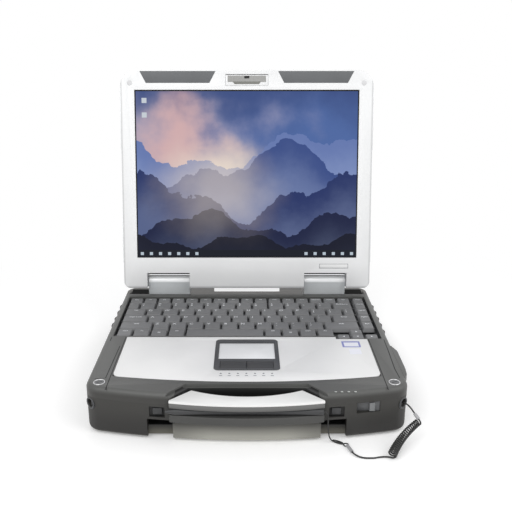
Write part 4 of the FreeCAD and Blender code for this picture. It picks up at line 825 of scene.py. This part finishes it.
def legend_meshes(word, low, high, sizes):
    """The printing of one key, at its place on the key's top."""
    if not word:
        return []
    top = high.z + PRINT_LIFT - sizes.key_dish * 0.2
    left = low.x + sizes.key_inset * 1.5 + 0.6 * MM
    rear = high.y - sizes.key_inset * 1.3
    middle = (low + high) / 2
    if word in ARROWS or word in ("MENU", "MARK"):
        return [moved(mark_mesh(word, sizes), Vector((middle.x, middle.y, top)))]
    if " " in word and word != "Caps Lock":
        upper, lower = word.split(" ")
        texts = [
            (upper, sizes.word, left + UPPER_AT.x, rear + UPPER_AT.y),
            (lower, sizes.letter, left + LOWER_AT.x, rear + LOWER_AT.y),
        ]
    elif len(word) == 1:
        texts = [(word, sizes.letter * 1.15, left + LETTER_AT.x, rear + LETTER_AT.y)]
    else:
        texts = [(word, sizes.word, middle.x, rear - WORD_BACK)]
    return [moved(text_mesh(letters, height), Vector((x, y, top))) for letters, height, x, y in texts]


class NotebookOperator(bpy.types.Operator):
    """Shared by the steps that dress the notebook."""

    bl_options = {"REGISTER", "UNDO"}

    @property
    def sizes(self):
        return bpy.context.scene.notebook_sizes

    @property
    def colours(self):
        return bpy.context.scene.notebook_colours


class NOTEBOOK_OT_finishes(NotebookOperator):
    """Makes the materials and puts one on every solid"""

    bl_idname = "notebook.finishes"
    bl_label = "Finishes"

    def execute(self, context):
        make_finishes(self.colours)
        for node, piece in frame["nodes"].items():
            piece.data.materials.clear()
            piece.data.materials.append(finishes[finish_of(node)])
        return {"FINISHED"}


SHELLS = (
    "bottom_case",
    "deck_frame",
    "battery_cover",
    "media_bay_cover",
    "rear_left_port_cover",
    "rear_right_port_cover",
    "side_ribs",
    "handle_grip",
    "left_hinge_cover",
    "right_hinge_cover",
)
TRIM = (
    "palm_rest_plate",
    "touchpad_bezel",
    "touchpad_surface",
    "touchpad_left_button",
    "touchpad_right_button",
    "handle_top_plate",
    "power_switch_plate",
    "power_switch_slider",
    "badge_plate",
    "left_antenna_cover",
    "right_antenna_cover",
    "lid_side_guards",
    "handle_arms",
    "keyboard_tray",
)


class NOTEBOOK_OT_shells(NotebookOperator):
    """Eases the edges of the shells and the trim"""

    bl_idname = "notebook.shells"
    bl_label = "Shells and trim"

    def execute(self, context):
        for node in SHELLS:
            eased(node, self.sizes.shell_edge)
        for node in TRIM:
            eased(node, self.sizes.trim_edge, segments=2)
        return {"FINISHED"}


# On the lid: distance from the middle, height above the hinge and depth, in millimetres
LID_PANEL = {"half": (118.0, 96.0), "corner": 14.0, "middle": 130.0, "depth": (9.0, 10.6), "edge": 1.1}
LID_RIBS = {"half": (70.0, 1.6), "heights": (60.0, 70.0, 80.0), "depth": (10.2, 11.6), "edge": 0.5}
LID_SCREWS = {"radius": 2.6, "x": 134.0, "heights": (40.0, 130.0, 220.0), "depth": (8.8, 9.7), "edge": 0.25}
# Strips above the hinge covers, black as painted shade in the gap
SEAL = {"x": (70.2, 121.8), "height": (7.5, 11.5), "depth": (2.0, 5.0)}
LATCH_BACK = -14.0
LATCH_LIP = [(-17.0, 240.2), (-14.4, 237.2), (14.4, 237.2), (17.0, 240.2)]
# Each layer of the latch: name, outline, front, finish and slot
LATCH_LAYERS = (
    ("latch_face", oblong(-22.8, 22.8, 239.6, 247.0), -14.45, "latch_face", "silver_paint"),
    ("latch_lip", LATCH_LIP, -14.6, "latch_lip", "silver_paint"),
    ("latch_hook", oblong(-3.0, 3.0, 243.8, 246.8), -14.5, "seam", "dark_plastic"),
)
BUMPER = {"x": 139.0, "height": 238.6, "depth": -14.4, "radius": 3.0}
BUMPER_PROFILE = ((1.0, 2.0), (1.0, -0.1), (0.86, -0.3), (0.5, -0.38))
BADGE = {"x": (88.4, 123.6), "height": (17.2, 22.7), "depth": (-14.66, -14.5), "line": 0.5}


class NOTEBOOK_OT_lid(NotebookOperator):
    """Dresses the display lid"""

    bl_idname = "notebook.lid"
    bl_label = "Display lid"

    def execute(self, context):
        eased("lid_back_cover", self.sizes.shell_edge)
        eased("lid_bezel", self.sizes.shell_edge)
        self.latch()
        self.bumpers()
        self.badge_line()
        self.seals()
        self.back()
        return {"FINISHED"}

    def back(self):
        """A raised panel on the lid's back, with ribs and screws."""
        panel = LID_PANEL
        ribs = LID_RIBS
        screws = LID_SCREWS
        up = lid_point(0, 0, 1) - HINGE
        outline = [(x, z + panel["middle"]) for x, z in rounded(*panel["half"], panel["corner"], 8)]
        plate = on_lid(outline, *panel["depth"])
        object_from("lid_back_panel", plate, "lid_back", "lid", panel["edge"] * MM, 3)
        rib = on_lid(rounded(*ribs["half"], ribs["half"][1]), *ribs["depth"])
        row = repeated(rib, [up * height for height in ribs["heights"]], "lid_back")
        object_from("lid_back_ribs", row, "lid_back", "lid", ribs["edge"] * MM)
        screw = on_lid(disc(screws["radius"]), *screws["depth"])
        across = Vector((screws["x"] * MM, 0, 0))
        spots = [up * height + across * side for side in (-1, 1) for height in screws["heights"]]
        heads = repeated(screw, spots, "steel")
        object_from("lid_back_screws", heads, "steel", "lid", screws["edge"] * MM)

    def seals(self):
        """Dark strips that close the gap above the hinge covers; their black is painted shade in that gap."""
        meshes = []
        for side in (-1, 1):
            ends = sorted(side * x for x in SEAL["x"])
            meshes.append(on_lid(oblong(*ends, *SEAL["height"]), *SEAL["depth"]))
        object_from("hinge_seals", joined(meshes), "seam", "lid")

    def latch(self):
        """The catch, with a grey face, a lip along its lower edge and a small dark hook."""
        eased("lid_latch", self.sizes.trim_edge, segments=2)
        for name, outline, front, finish, slot in LATCH_LAYERS:
            object_from(name, on_lid(outline, front, LATCH_BACK), finish, "lid_latch")

    def bumpers(self):
        """Round-topped corner bumpers."""
        meshes = []
        for side in (-1, 1):
            rings = []
            for share, rise in BUMPER_PROFILE:
                ring = disc(BUMPER["radius"] * share, 6)
                middle = side * BUMPER["x"]
                depth = BUMPER["depth"] + rise
                rings.append([lid_point(x + middle, depth, z + BUMPER["height"]) for x, z in ring])
            meshes.append(solid(rings))
        piece = object_from("lid_bumper_domes", joined(meshes), "bumper", "lid")
        smooth(piece.data)
        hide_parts("lid_bumpers")

    def badge_line(self):
        """A fine dark outline round the bare badge."""
        x0, x1 = BADGE["x"]
        z0, z1 = BADGE["height"]
        line = BADGE["line"]
        bars = (
            (x0, x1, z0, z0 + line),
            (x0, x1, z1 - line, z1),
            (x0, x0 + line, z0, z1),
            (x1 - line, x1, z0, z1),
        )
        meshes = [on_lid(oblong(*bar), *BADGE["depth"]) for bar in bars]
        object_from("badge_outline", joined(meshes), "print_grey", "lid")


class NOTEBOOK_OT_keys(NotebookOperator):
    """Sets a dished cap on each key and prints its legend"""

    bl_idname = "notebook.keys"
    bl_label = "Keys"

    def execute(self, context):
        for node, words in LEGENDS.items():
            boxes = islands(node)
            groups = {}
            for low, high in boxes:
                extent = tuple(round(v, 5) for v in high - low)
                middle = (low + high) / 2
                groups.setdefault(extent, []).append((middle.x, middle.y, low.z))
            caps = []
            for extent, places in groups.items():
                caps.append(repeated(cap_mesh(*extent, self.sizes), places, "keys"))
            piece = object_from(node + "_caps", joined(caps), "keys", BODIES[node])
            smooth(piece.data, CAP_SHARP)
            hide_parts(node)
            printing = []
            for word, (low, high) in zip(words, boxes):
                printing += legend_meshes(word, low, high, self.sizes)
            if printing:
                object_from(node + "_legends", joined(printing), "legend", BODIES[node])
        return {"FINISHED"}


COIL_TOP = Vector((158.4, -122.6, 18.8)) * MM
COIL_MIDDLE = Vector((142.8, -135.2, 12.2)) * MM
COIL_FOOT = Vector((128.5, -154.5, 4.9)) * MM
COIL_TURNS = 20.43
COIL_HIGH_RADIUS = 2.8 * MM
COIL_LOW_RADIUS = 3.7 * MM
POINTS_PER_TURN = 14
UPPER_SLEEVE = 6.0 * MM
TETHER_BAR = Vector((145.2, -108.4, 31.0)) * MM
UPPER_ROUTE = [(147.3, -110.5, 31.0), (149.6, -113.0, 30.8), (151.6, -116.4, 29.6)]
LEAD_ROUTE = [
    (121.8, -151.6, 1.0),
    (117.4, -152.2, 0.9),
    (113.2, -153.5, 0.9),
    (109.4, -153.5, 0.9),
    (105.6, -153.5, 0.9),
    (101.6, -152.6, 1.0),
    (98.0, -150.6, 1.4),
]
STRING_ROUTE = [
    (69.5, -130.5, 34.0),
    (72.0, -130.5, 34.0),
    (73.5, -130.5, 31.6),
    (73.9, -130.3, 27.4),
    (74.0, -129.8, 20.0),
    (74.7, -129.2, 11.5),
    (76.2, -128.2, 4.6),
    (79.4, -127.6, 0.9),
    (84.4, -128.7, 0.8),
    (88.4, -131.2, 0.8),
]
SLEEVE_WAY = Vector((0.285, -0.958, 0)).normalized()
SLEEVE_HALF = 5.0 * MM
RING = {"reach": 2.9 * MM, "radius": 2.3 * MM, "wire": 0.5 * MM}
EYE = {"half_length": 5.4 * MM, "half_width": 1.7 * MM, "steps": 28}
TUBE_SIDES = 8


class Curls:
    """The helix of the tether about an axis that is bent to an arc."""

    def __init__(self):
        a = COIL_MIDDLE - COIL_TOP
        b = COIL_FOOT - COIL_TOP
        normal = a.cross(b)
        offset = normal.cross(a) * b.length_squared + b.cross(normal) * a.length_squared
        self.centre = COIL_TOP + offset / (2 * normal.length_squared)
        self.radius = (COIL_TOP - self.centre).length
        self.out = (COIL_TOP - self.centre).normalized()
        self.normal = normal.normalized()
        self.along = self.normal.cross(self.out)
        self.sweep = (COIL_TOP - self.centre).angle(COIL_FOOT - self.centre)
        self.foot_angle = math.atan2(-self.normal.z, -self.arm(1).z)

    def arm(self, share):
        return self.out * math.cos(self.sweep * share) + self.along * math.sin(self.sweep * share)

    def point(self, share):
        angle = 2 * math.pi * COIL_TURNS * (share - 1) + self.foot_angle
        spread = COIL_HIGH_RADIUS + (COIL_LOW_RADIUS - COIL_HIGH_RADIUS) * share
        reach = self.radius + spread * math.cos(angle)
        return self.centre + self.arm(share) * reach + self.normal * (spread * math.sin(angle))

    def tangent(self, share):
        return (self.point(share + 1e-4) - self.point(share - 1e-4)).normalized()


def spline_points(route, resolution):
    """Points along a smooth spline that has a route's points as its control points."""
    curve = bpy.data.curves.new("route", "CURVE")
    curve.dimensions = "3D"
    curve.resolution_u = resolution
    spline = curve.splines.new("NURBS")
    spline.points.add(len(route) - 1)
    for point, place in zip(spline.points, route):
        point.co = (*place, 1)
    spline.order_u = 3
    spline.use_endpoint_u = True
    holder = linked("route", curve)
    points = [vert.co.copy() for vert in evaluated(holder).vertices]
    bpy.data.objects.remove(holder)
    return points


def tube_mesh(points, radius):
    """A round tube along a line of points."""
    way = (points[1] - points[0]).normalized()
    side = way.orthogonal().normalized()
    rings = []
    for n, place in enumerate(points):
        ahead = points[min(n + 1, len(points) - 1)] - points[max(n - 1, 0)]
        turn = way.rotation_difference(ahead.normalized())
        way = ahead.normalized()
        side = (turn @ side).normalized()
        other = way.cross(side)
        rings.append([place + (side * math.cos(t) + other * math.sin(t)) * radius for t in turns(TUBE_SIDES)])
    mesh = solid(rings)
    mesh.shade_smooth()
    return mesh


def ring_mesh(centre, radius, wire, around=24):
    """A round wire ring that lies flat."""
    up = Vector((0, 0, wire))
    rings = []
    for turn in turns(around):
        out = Vector((math.cos(turn), math.sin(turn), 0))
        ring = [out * (radius + wire * math.cos(t)) + up * math.sin(t) for t in turns(TUBE_SIDES)]
        rings.append([centre + point for point in ring])
    mesh = solid(rings, hoop=True)
    mesh.shade_smooth()
    return mesh


class NOTEBOOK_OT_tether(NotebookOperator):
    """Lays the curly tether and the stylus string"""

    bl_idname = "notebook.tether"
    bl_label = "Stylus tether"

    def execute(self, context):
        radius = self.sizes.cord_radius
        curls = Curls()
        tail = 2 * radius
        run = 3 * radius
        up = -curls.tangent(0)
        down = curls.tangent(1)
        top = curls.point(0) + up * tail
        foot = curls.point(1) + down * tail
        count = int(COIL_TURNS * POINTS_PER_TURN)
        upper = [TETHER_BAR] + [Vector(p) * MM for p in UPPER_ROUTE]
        upper += [top + up * (UPPER_SLEEVE + run), top + up * UPPER_SLEEVE, top]
        coil = [curls.point(n / count) for n in range(count + 1)]
        low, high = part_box("tether_lower_sleeve")
        middle = (low + high) / 2
        sleeve_low = middle + SLEEVE_WAY * SLEEVE_HALF
        lead = [foot, foot + down * run] + [Vector(p) * MM for p in LEAD_ROUTE]
        lead += [sleeve_low + SLEEVE_WAY * run, sleeve_low]
        points = spline_points(upper + coil + lead, 3)
        tether = linked("tether_cord", tube_mesh(points, radius))
        tether.data.materials.append(finishes["cord"])
        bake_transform(tether)
        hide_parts("tether_upper_lead", "tether_coil", "tether_lead", "stylus_lead")
        self.lay_string()
        return {"FINISHED"}

    def lay_string(self):
        """The stylus string, with an eye and a ring at its end."""
        radius = self.sizes.string_radius
        points = spline_points([Vector(p) * MM for p in STRING_ROUTE], 8)
        string = object_from("stylus_string_cord", tube_mesh(points, radius), "cord", "handle")
        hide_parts("stylus_string")
        way = points[-1] - points[-2]
        way.z = 0
        way.normalize()
        hoop = ring_mesh(points[-1] + way * RING["reach"], RING["radius"], RING["wire"])
        ring = object_from("tether_ring", hoop, "seam", "handle")
        eye = object_from("string_eye", self.eye_mesh(points[-1], way), "cord", "handle")

    def eye_mesh(self, tip, way):
        """The long loop that ties the string to its ring."""
        length = way * EYE["half_length"]
        width = Vector((-way.y, way.x, 0)) * EYE["half_width"]
        angles = turns(EYE["steps"]) + [2 * math.pi]
        points = [tip - length + length * math.cos(t) + width * math.sin(t) for t in angles]
        return tube_mesh(points, self.sizes.string_radius * 0.9)


ICON_ROW = {"first": -25.0 * MM, "step": 8.2 * MM, "count": 7, "y": -86.0 * MM, "gap": 4.4 * MM}
LABELS = (
    ("palm_label_upper", "label_blue", (99.5, 118.5), (-29.0, -15.0), 0.10),
    ("palm_label_upper_face", "label_white", (101.5, 116.5), (-27.2, -18.0), 0.13),
    ("palm_label_lower", "label_white", (105.0, 117.0), (-45.0, -33.5), 0.10),
)
# Half width, half depth and corner of each mark
DOT = (0.9 * MM, 0.9 * MM, 0.6 * MM)
DASH = (1.5 * MM, 0.5 * MM, 0.4 * MM)
LAMP = (1.1 * MM, 0.8 * MM, 0.5 * MM)
LAMPS = ((81.0, -121.0), (86.6, -121.0), (92.8, -121.0), (99.0, -120.9))


class NOTEBOOK_OT_printing(NotebookOperator):
    """Adds the palm rest's marks, bare labels and the deck's indicator lamps"""

    bl_idname = "notebook.printing"
    bl_label = "Marks and labels"

    def execute(self, context):
        top = DECK_TOP + PRINT_LIFT
        row = ICON_ROW
        spots = [Vector((row["first"] + n * row["step"], row["y"], top)) for n in range(row["count"])]
        lower = [spot - Vector((0, row["gap"], 0)) for spot in spots]
        marks = []
        for outline, places in ((DOT, spots), (DASH, lower)):
            marks.append(repeated(prism(rounded(*outline), 0, PRINT_LIFT), places, "print_grey"))
        object_from("palm_rest_marks", joined(marks), "print_grey")
        plane = DECK_TOP / MM
        for name, finish, xs, ys, lift in LABELS:
            object_from(name, block(xs, ys, (plane, plane + lift)), finish)
        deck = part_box("deck_screw_caps")[1].z - 0.3 * MM
        lamp = prism(rounded(*LAMP), 0, 0.15 * MM)
        places = [Vector((x * MM, y * MM, deck)) for x, y in LAMPS]
        object_from("indicator_lamps", repeated(lamp, places, "lamp"), "lamp")
        return {"FINISHED"}


SEAMS = (
    ((-129.2, -4.0), (-129.6, -60.0), (-129.6, -117.0)),
    ((129.2, -10.0), (129.6, -60.0), (129.6, -117.0)),
    ((-132.0, -26.0), (-133.6, -95.0), (-143.5, -96.6)),
    ((-144.4, -4.5), (-144.4, -14.0)),
    ((145.4, -10.5), (144.9, -38.4), (143.6, -76.8), (144.6, -95.0)),
)
SEAM_WIDTH = 0.9 * MM
LOCK = {"x": (77.6, 86.4), "y": (-123.0, -120.8), "z": (26.4, 33.4)}
LINER = {"x": (121.0, 145.6), "y": (120.8, 149.0), "drop": 4.8, "rise": 0.12}
COLLAR = {"place": (146.0, -109.3, 30.6), "radius": 5.1, "wire": 0.9}


def ribbon(route, width, low, high):
    """A narrow flat strip along a line of points on the deck."""
    points = [Vector((x * MM, y * MM)) for x, y in route]
    left = []
    right = []
    for n, point in enumerate(points):
        way = (points[min(n + 1, len(points) - 1)] - points[max(n - 1, 0)]).normalized()
        side = Vector((-way.y, way.x)) * width / 2
        left.append(point + side)
        right.append(point - side)
    return prism(right + left[::-1], low, high)


class NOTEBOOK_OT_base_details(NotebookOperator):
    """Adds the deck's seams, the trough's liners, the handle's lock blocks and the tether holes' collars"""

    bl_idname = "notebook.base_details"
    bl_label = "Base details"

    def execute(self, context):
        strips = [ribbon(route, SEAM_WIDTH, DECK_TOP - 0.2 * MM, DECK_TOP + PRINT_LIFT) for route in SEAMS]
        object_from("deck_seams", joined(strips), "seam")
        bed = DECK_TOP / MM - LINER["drop"]
        liners = []
        blocks = []
        collars = []
        for side in (-1, 1):
            liner_x, lock_x = ([side * x for x in part["x"]] for part in (LINER, LOCK))
            liners.append(block(liner_x, LINER["y"], (bed - 0.2, bed + LINER["rise"])))
            blocks.append(block(lock_x, LOCK["y"], LOCK["z"]))
            x, y, z = COLLAR["place"]
            turn = Vector((side, -1, 0)).to_track_quat("Z", "Y").to_matrix().to_4x4()
            ring = ring_mesh(Vector(), COLLAR["radius"] * MM, COLLAR["wire"] * MM, 32)
            ring.transform(Matrix.Translation(Vector((side * x, y, z)) * MM) @ turn)
            collars.append(ring)
        object_from("trough_liners", joined(liners), "liner")
        object_from("handle_locks", joined(blocks), "dark", edge=0.8 * MM)
        rings = object_from("tether_collars", joined(collars), "pad_frame")
        rings.data.shade_smooth()
        return {"FINISHED"}


# Sizes in millimetres
GRILLE = {"half": 38.0, "step": 4.0, "low": 12.0, "high": 32.0, "bar": 0.9}
TAB = {"half": 8.0, "drop": 5.0, "rise": 1.8, "depth": (-0.5, 0.9)}
COVER_TABS = {
    "rear_left_port_cover": (0, 1),
    "rear_right_port_cover": (0, 1),
    "battery_cover": (1, 0),
    "media_bay_cover": (-1, 0),
}
UNDER_DOORS = ((-118.0, -42.0, 20.0, 92.0), (-30.0, 34.0, 30.0, 92.0), (46.0, 120.0, -80.0, 96.0))
UNDER_LABELS = (((-30.0, 34.0), (-16.0, 18.0)), ((-112.0, -48.0), (-40.0, -12.0)))
UNDER_VENTS = {"x": -80.0, "y": -66.0, "step": 5.0, "count": 9, "slot": (1.2 * MM, 12 * MM, 1.2 * MM)}
DECK_GUARD = (
    (149.0, -90.0),
    (151.0, -89.0),
    (154.2, -83.0),
    (155.2, -72.0),
    (155.2, -34.0),
    (151.6, -23.0),
    (149.0, -20.0),
)
GUARD_LOW = 38.6 * MM
RIB_PITCH = 18 * MM


class NOTEBOOK_OT_rear_and_under(NotebookOperator):
    """Adds the rear grille, the covers' tabs and the doors, labels and vents underneath"""

    bl_idname = "notebook.rear_and_under"
    bl_label = "Rear and underside"

    def execute(self, context):
        self.grille()
        for node, way in COVER_TABS.items():
            self.tab(node, way)
        self.guards()
        self.under()
        return {"FINISHED"}

    def grille(self):
        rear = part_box("bottom_case")[1].y / MM
        half = GRILLE["half"]
        step = GRILLE["step"]
        low = GRILLE["low"]
        high = GRILLE["high"]
        bar = GRILLE["bar"]
        plate = block((-half, half), (rear - 0.5, rear + 0.1), (low, high))
        object_from("rear_grille_plate", plate, "seam")
        upright = block((-bar, bar), (rear - 0.5, rear + 0.9), (low - 1, high + 1))
        count = int(half / step)
        bars = repeated(upright, [(n * step * MM, 0, 0) for n in range(-count, count + 1)], "case")
        object_from("rear_grille_bars", bars, "case", edge=0.35 * MM)

    def tab(self, node, way):
        """A thumb tab near the upper edge of a cover."""
        low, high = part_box(node)
        out = Vector((*way, 0))
        along = Vector((abs(way[1]), abs(way[0]), 0))
        face = (low + high) / 2 + out * abs((high - low).dot(out)) / 2
        face.z = high.z - TAB["drop"] * MM
        reach = along * TAB["half"] + Vector((0, 0, TAB["rise"]))
        inner, outer = (out * depth for depth in TAB["depth"])
        mesh = block(*zip(face / MM + inner - reach, face / MM + outer + reach))
        object_from(node + "_tab", mesh, "pad_frame", BODIES[node], 0.6 * MM, 3)

    def guards(self):
        """A guard along the right edge of the deck, and more ribs on the left like the solid one."""
        guard = prism([(x * MM, y * MM) for x, y in DECK_GUARD], GUARD_LOW, DECK_TOP - 1.4 * MM)
        object_from("right_deck_guard", guard, "deck", edge=1.0 * MM, segments=3)
        low, high = islands("side_ribs")[0]
        half = (high.y - low.y) / 2
        arc = [math.pi * (n / 12 - 0.5) for n in range(13)]
        outline = [(high.x - (high.x - low.x) * math.cos(a), low.y + half - half * math.sin(a)) for a in arc]
        places = [(0, n * RIB_PITCH, 0) for n in (-1, 1, 2)]
        ribs = repeated(prism(outline, low.z, high.z), places, "case")
        object_from("left_guard_ribs", ribs, "case", edge=self.sizes.shell_edge, segments=3)

    def under(self):
        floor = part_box("bottom_case")[0].z
        seams = []
        for door in UNDER_DOORS:
            corners = oblong(*door)
            for ends in zip(corners, corners[1:] + corners[:1]):
                seams.append(ribbon(ends, SEAM_WIDTH, floor - PRINT_LIFT, floor + 0.2 * MM))
        object_from("under_seams", joined(seams), "rubber")
        thickness = (floor / MM - 0.12, floor / MM + 0.1)
        labels = joined(block(xs, ys, thickness) for xs, ys in UNDER_LABELS)
        object_from("under_labels", labels, "label_white")
        vents = UNDER_VENTS
        slot = prism(rounded(*vents["slot"]), -PRINT_LIFT, 0.2 * MM)
        first = Vector((vents["x"] * MM, vents["y"] * MM, floor))
        places = [first + Vector((n * vents["step"] * MM, 0, 0)) for n in range(vents["count"])]
        object_from("under_vents", repeated(slot, places, "seam"), "seam")


# Share of the cap's radius and height above its top in millimetres
SCREW_PROFILE = ((1.0, -0.2), (0.96, 0.0), (0.88, 0.0), (0.84, -0.35))
SCREW_FACE = {"share": 0.82, "low": -0.35 * MM, "high": -0.12 * MM}
SCREW_SLOT = {"x": 2.6, "y": 0.9, "low": -0.3 * MM, "high": -0.08 * MM}
SCREW_SIDES = 40


class NOTEBOOK_OT_screw_caps(NotebookOperator):
    """Turns the deck's screw caps into slotted discs with bright rings"""

    bl_idname = "notebook.screw_caps"
    bl_label = "Screw caps"

    def execute(self, context):
        for side, (low, high) in zip(("left", "right"), islands("deck_screw_caps")):
            middle = (low + high) / 2
            radius = (high.x - low.x) / 2
            top = high.z
            profile = [(1.0, low.z)] + [(share, top + rise * MM) for share, rise in SCREW_PROFILE]
            rings = []
            for share, height in profile:
                reach = radius * share
                outline = [(reach * math.cos(t), reach * math.sin(t)) for t in turns(SCREW_SIDES)]
                rings.append(at_height([(middle.x + x, middle.y + y) for x, y in outline], height))
            mesh = solid(rings)
            smooth(mesh, 30)
            rim = object_from(f"{side}_screw_cap_ring", mesh, "steel")
            if side == "left":
                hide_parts("deck_screw_caps")
            outline = [(x + middle.x, y + middle.y) for x, y in disc(radius * SCREW_FACE["share"])]
            plate = prism(outline, top + SCREW_FACE["low"], top + SCREW_FACE["high"])
            object_from(f"{side}_screw_cap_face", plate, "switch")
            x, y = (middle.x / MM, middle.y / MM)
            slot = [(x + end * SCREW_SLOT["x"], y + end * SCREW_SLOT["y"]) for end in (-1, 1)]
            mark = ribbon(slot, SEAM_WIDTH, top + SCREW_SLOT["low"], top + SCREW_SLOT["high"])
            object_from(f"{side}_screw_cap_slot", mark, "seam")
        return {"FINISHED"}


WHITE = (1, 1, 1, 1)
FLOOR = {"reach": 6.0, "near": 0.20, "far": 0.52, "glow": (0.16, 0.16, 0.16, 1)}
# Each lamp: name, place, width and power
STUDIO_LAMPS = (
    ("key", (-0.50, -0.90, 1.10), 1.1, 8.4),
    ("fill", (0.95, -0.55, 0.95), 1.0, 5.5),
    ("back", (0.0, 1.1, 1.2), 1.4, 4.6),
)
LAMP_AIM = Vector((0, 0, 0.1))
SKY_STRENGTH = 0.55


class NOTEBOOK_OT_stage(NotebookOperator):
    """Sets the camera, the pale floor and soft light"""

    bl_idname = "notebook.stage"
    bl_label = "Stage"

    def execute(self, context):
        stage = context.scene.notebook_stage
        camera = linked("camera", bpy.data.cameras.new("camera"))
        camera.location = stage.camera_place
        camera.rotation_euler = (math.pi / 2 - stage.camera_pitch, 0, 0)
        camera.data.lens = stage.lens
        camera.data.sensor_width = 36.0
        camera.data.shift_x = stage.shift
        context.scene.camera = camera
        self.floor(stage)
        self.lights(context)
        context.scene.view_settings.view_transform = "Standard"
        return {"FINISHED"}

    def floor(self, stage):
        """A table top that fades to plain white away from the part and is clear from below."""
        reach = FLOOR["reach"]
        mesh = bpy.data.meshes.new("floor")
        mesh.from_pydata(at_height(oblong(-reach, reach, -reach, reach), 0), [], [(0, 1, 2, 3)])
        floor = linked("floor", mesh)
        finish = Finish("floor", stage.floor, 0.6, Specular_IOR_Level=0.0, Emission_Strength=1.0)
        x, y = finish.axes()[:2]
        bare = (x * x + y * y).root().smooth(FLOOR["near"], FLOOR["far"])
        finish.set("Base Color", finish.mix(bare, finish.colour, (0, 0, 0, 1)))
        finish.set("Emission Color", finish.mix(bare, FLOOR["glow"], WHITE))
        finish.set("Alpha", 1 - finish.node("ShaderNodeNewGeometry", output="Backfacing"))
        mesh.materials.append(finishes["floor"])

    def lights(self, context):
        """Three soft lamps and an even sky, which the camera sees as white."""
        for name, place, width, power in STUDIO_LAMPS:
            light = bpy.data.lights.new(name, "AREA")
            light.size = width
            light.energy = power
            lamp = linked(name, light)
            lamp.location = place
            lamp.rotation_euler = (LAMP_AIM - Vector(place)).to_track_quat("-Z", "Y").to_euler()
        world = bpy.data.worlds.new("studio")
        world.use_nodes = True
        nodes = Nodes(world.node_tree)
        sky = world.node_tree.nodes["Background"]
        nodes.feed(sky.inputs["Color"], WHITE)
        nodes.feed(sky.inputs["Strength"], SKY_STRENGTH)
        seen = nodes.node("ShaderNodeBackground", {"Color": WHITE})
        path = nodes.add("ShaderNodeLightPath")
        rays = [Wire(nodes, path.outputs[f"Is {ray} Ray"]) for ray in ("Camera", "Glossy", "Transmission")]
        direct = rays[0].most(rays[1]).most(rays[2])
        mixed = nodes.node("ShaderNodeMixShader", [direct, Wire(nodes, sky.outputs[0]), seen])
        nodes.feed(world.node_tree.nodes["World Output"].inputs["Surface"], mixed)
        context.scene.world = world


STEPS = (
    NOTEBOOK_OT_finishes,
    NOTEBOOK_OT_shells,
    NOTEBOOK_OT_lid,
    NOTEBOOK_OT_keys,
    NOTEBOOK_OT_tether,
    NOTEBOOK_OT_printing,
    NOTEBOOK_OT_base_details,
    NOTEBOOK_OT_rear_and_under,
    NOTEBOOK_OT_screw_caps,
    NOTEBOOK_OT_stage,
)


class NOTEBOOK_PT_panel(bpy.types.Panel):
    """Lists the steps that dress the notebook"""

    bl_label = "Notebook"
    bl_space_type = "VIEW_3D"
    bl_region_type = "UI"
    bl_category = "Notebook"

    def draw(self, context):
        for step in STEPS:
            self.layout.operator(step.bl_idname)


SETTINGS = {
    "notebook_colours": NotebookColours,
    "notebook_sizes": NotebookSizes,
    "notebook_stage": NotebookStage,
}


def register():
    for cls in (*SETTINGS.values(), *STEPS, NOTEBOOK_PT_panel):
        bpy.utils.register_class(cls)
    for name, group in SETTINGS.items():
        setattr(bpy.types.Scene, name, bpy.props.PointerProperty(type=group))


def unregister():
    for name in SETTINGS:
        delattr(bpy.types.Scene, name)
    for cls in reversed((*SETTINGS.values(), *STEPS, NOTEBOOK_PT_panel)):
        bpy.utils.unregister_class(cls)


def main():
    register()
    for step in STEPS:
        group, name = step.bl_idname.split(".")
        getattr(getattr(bpy.ops, group), name)()


if __name__ == "__main__":
    main()
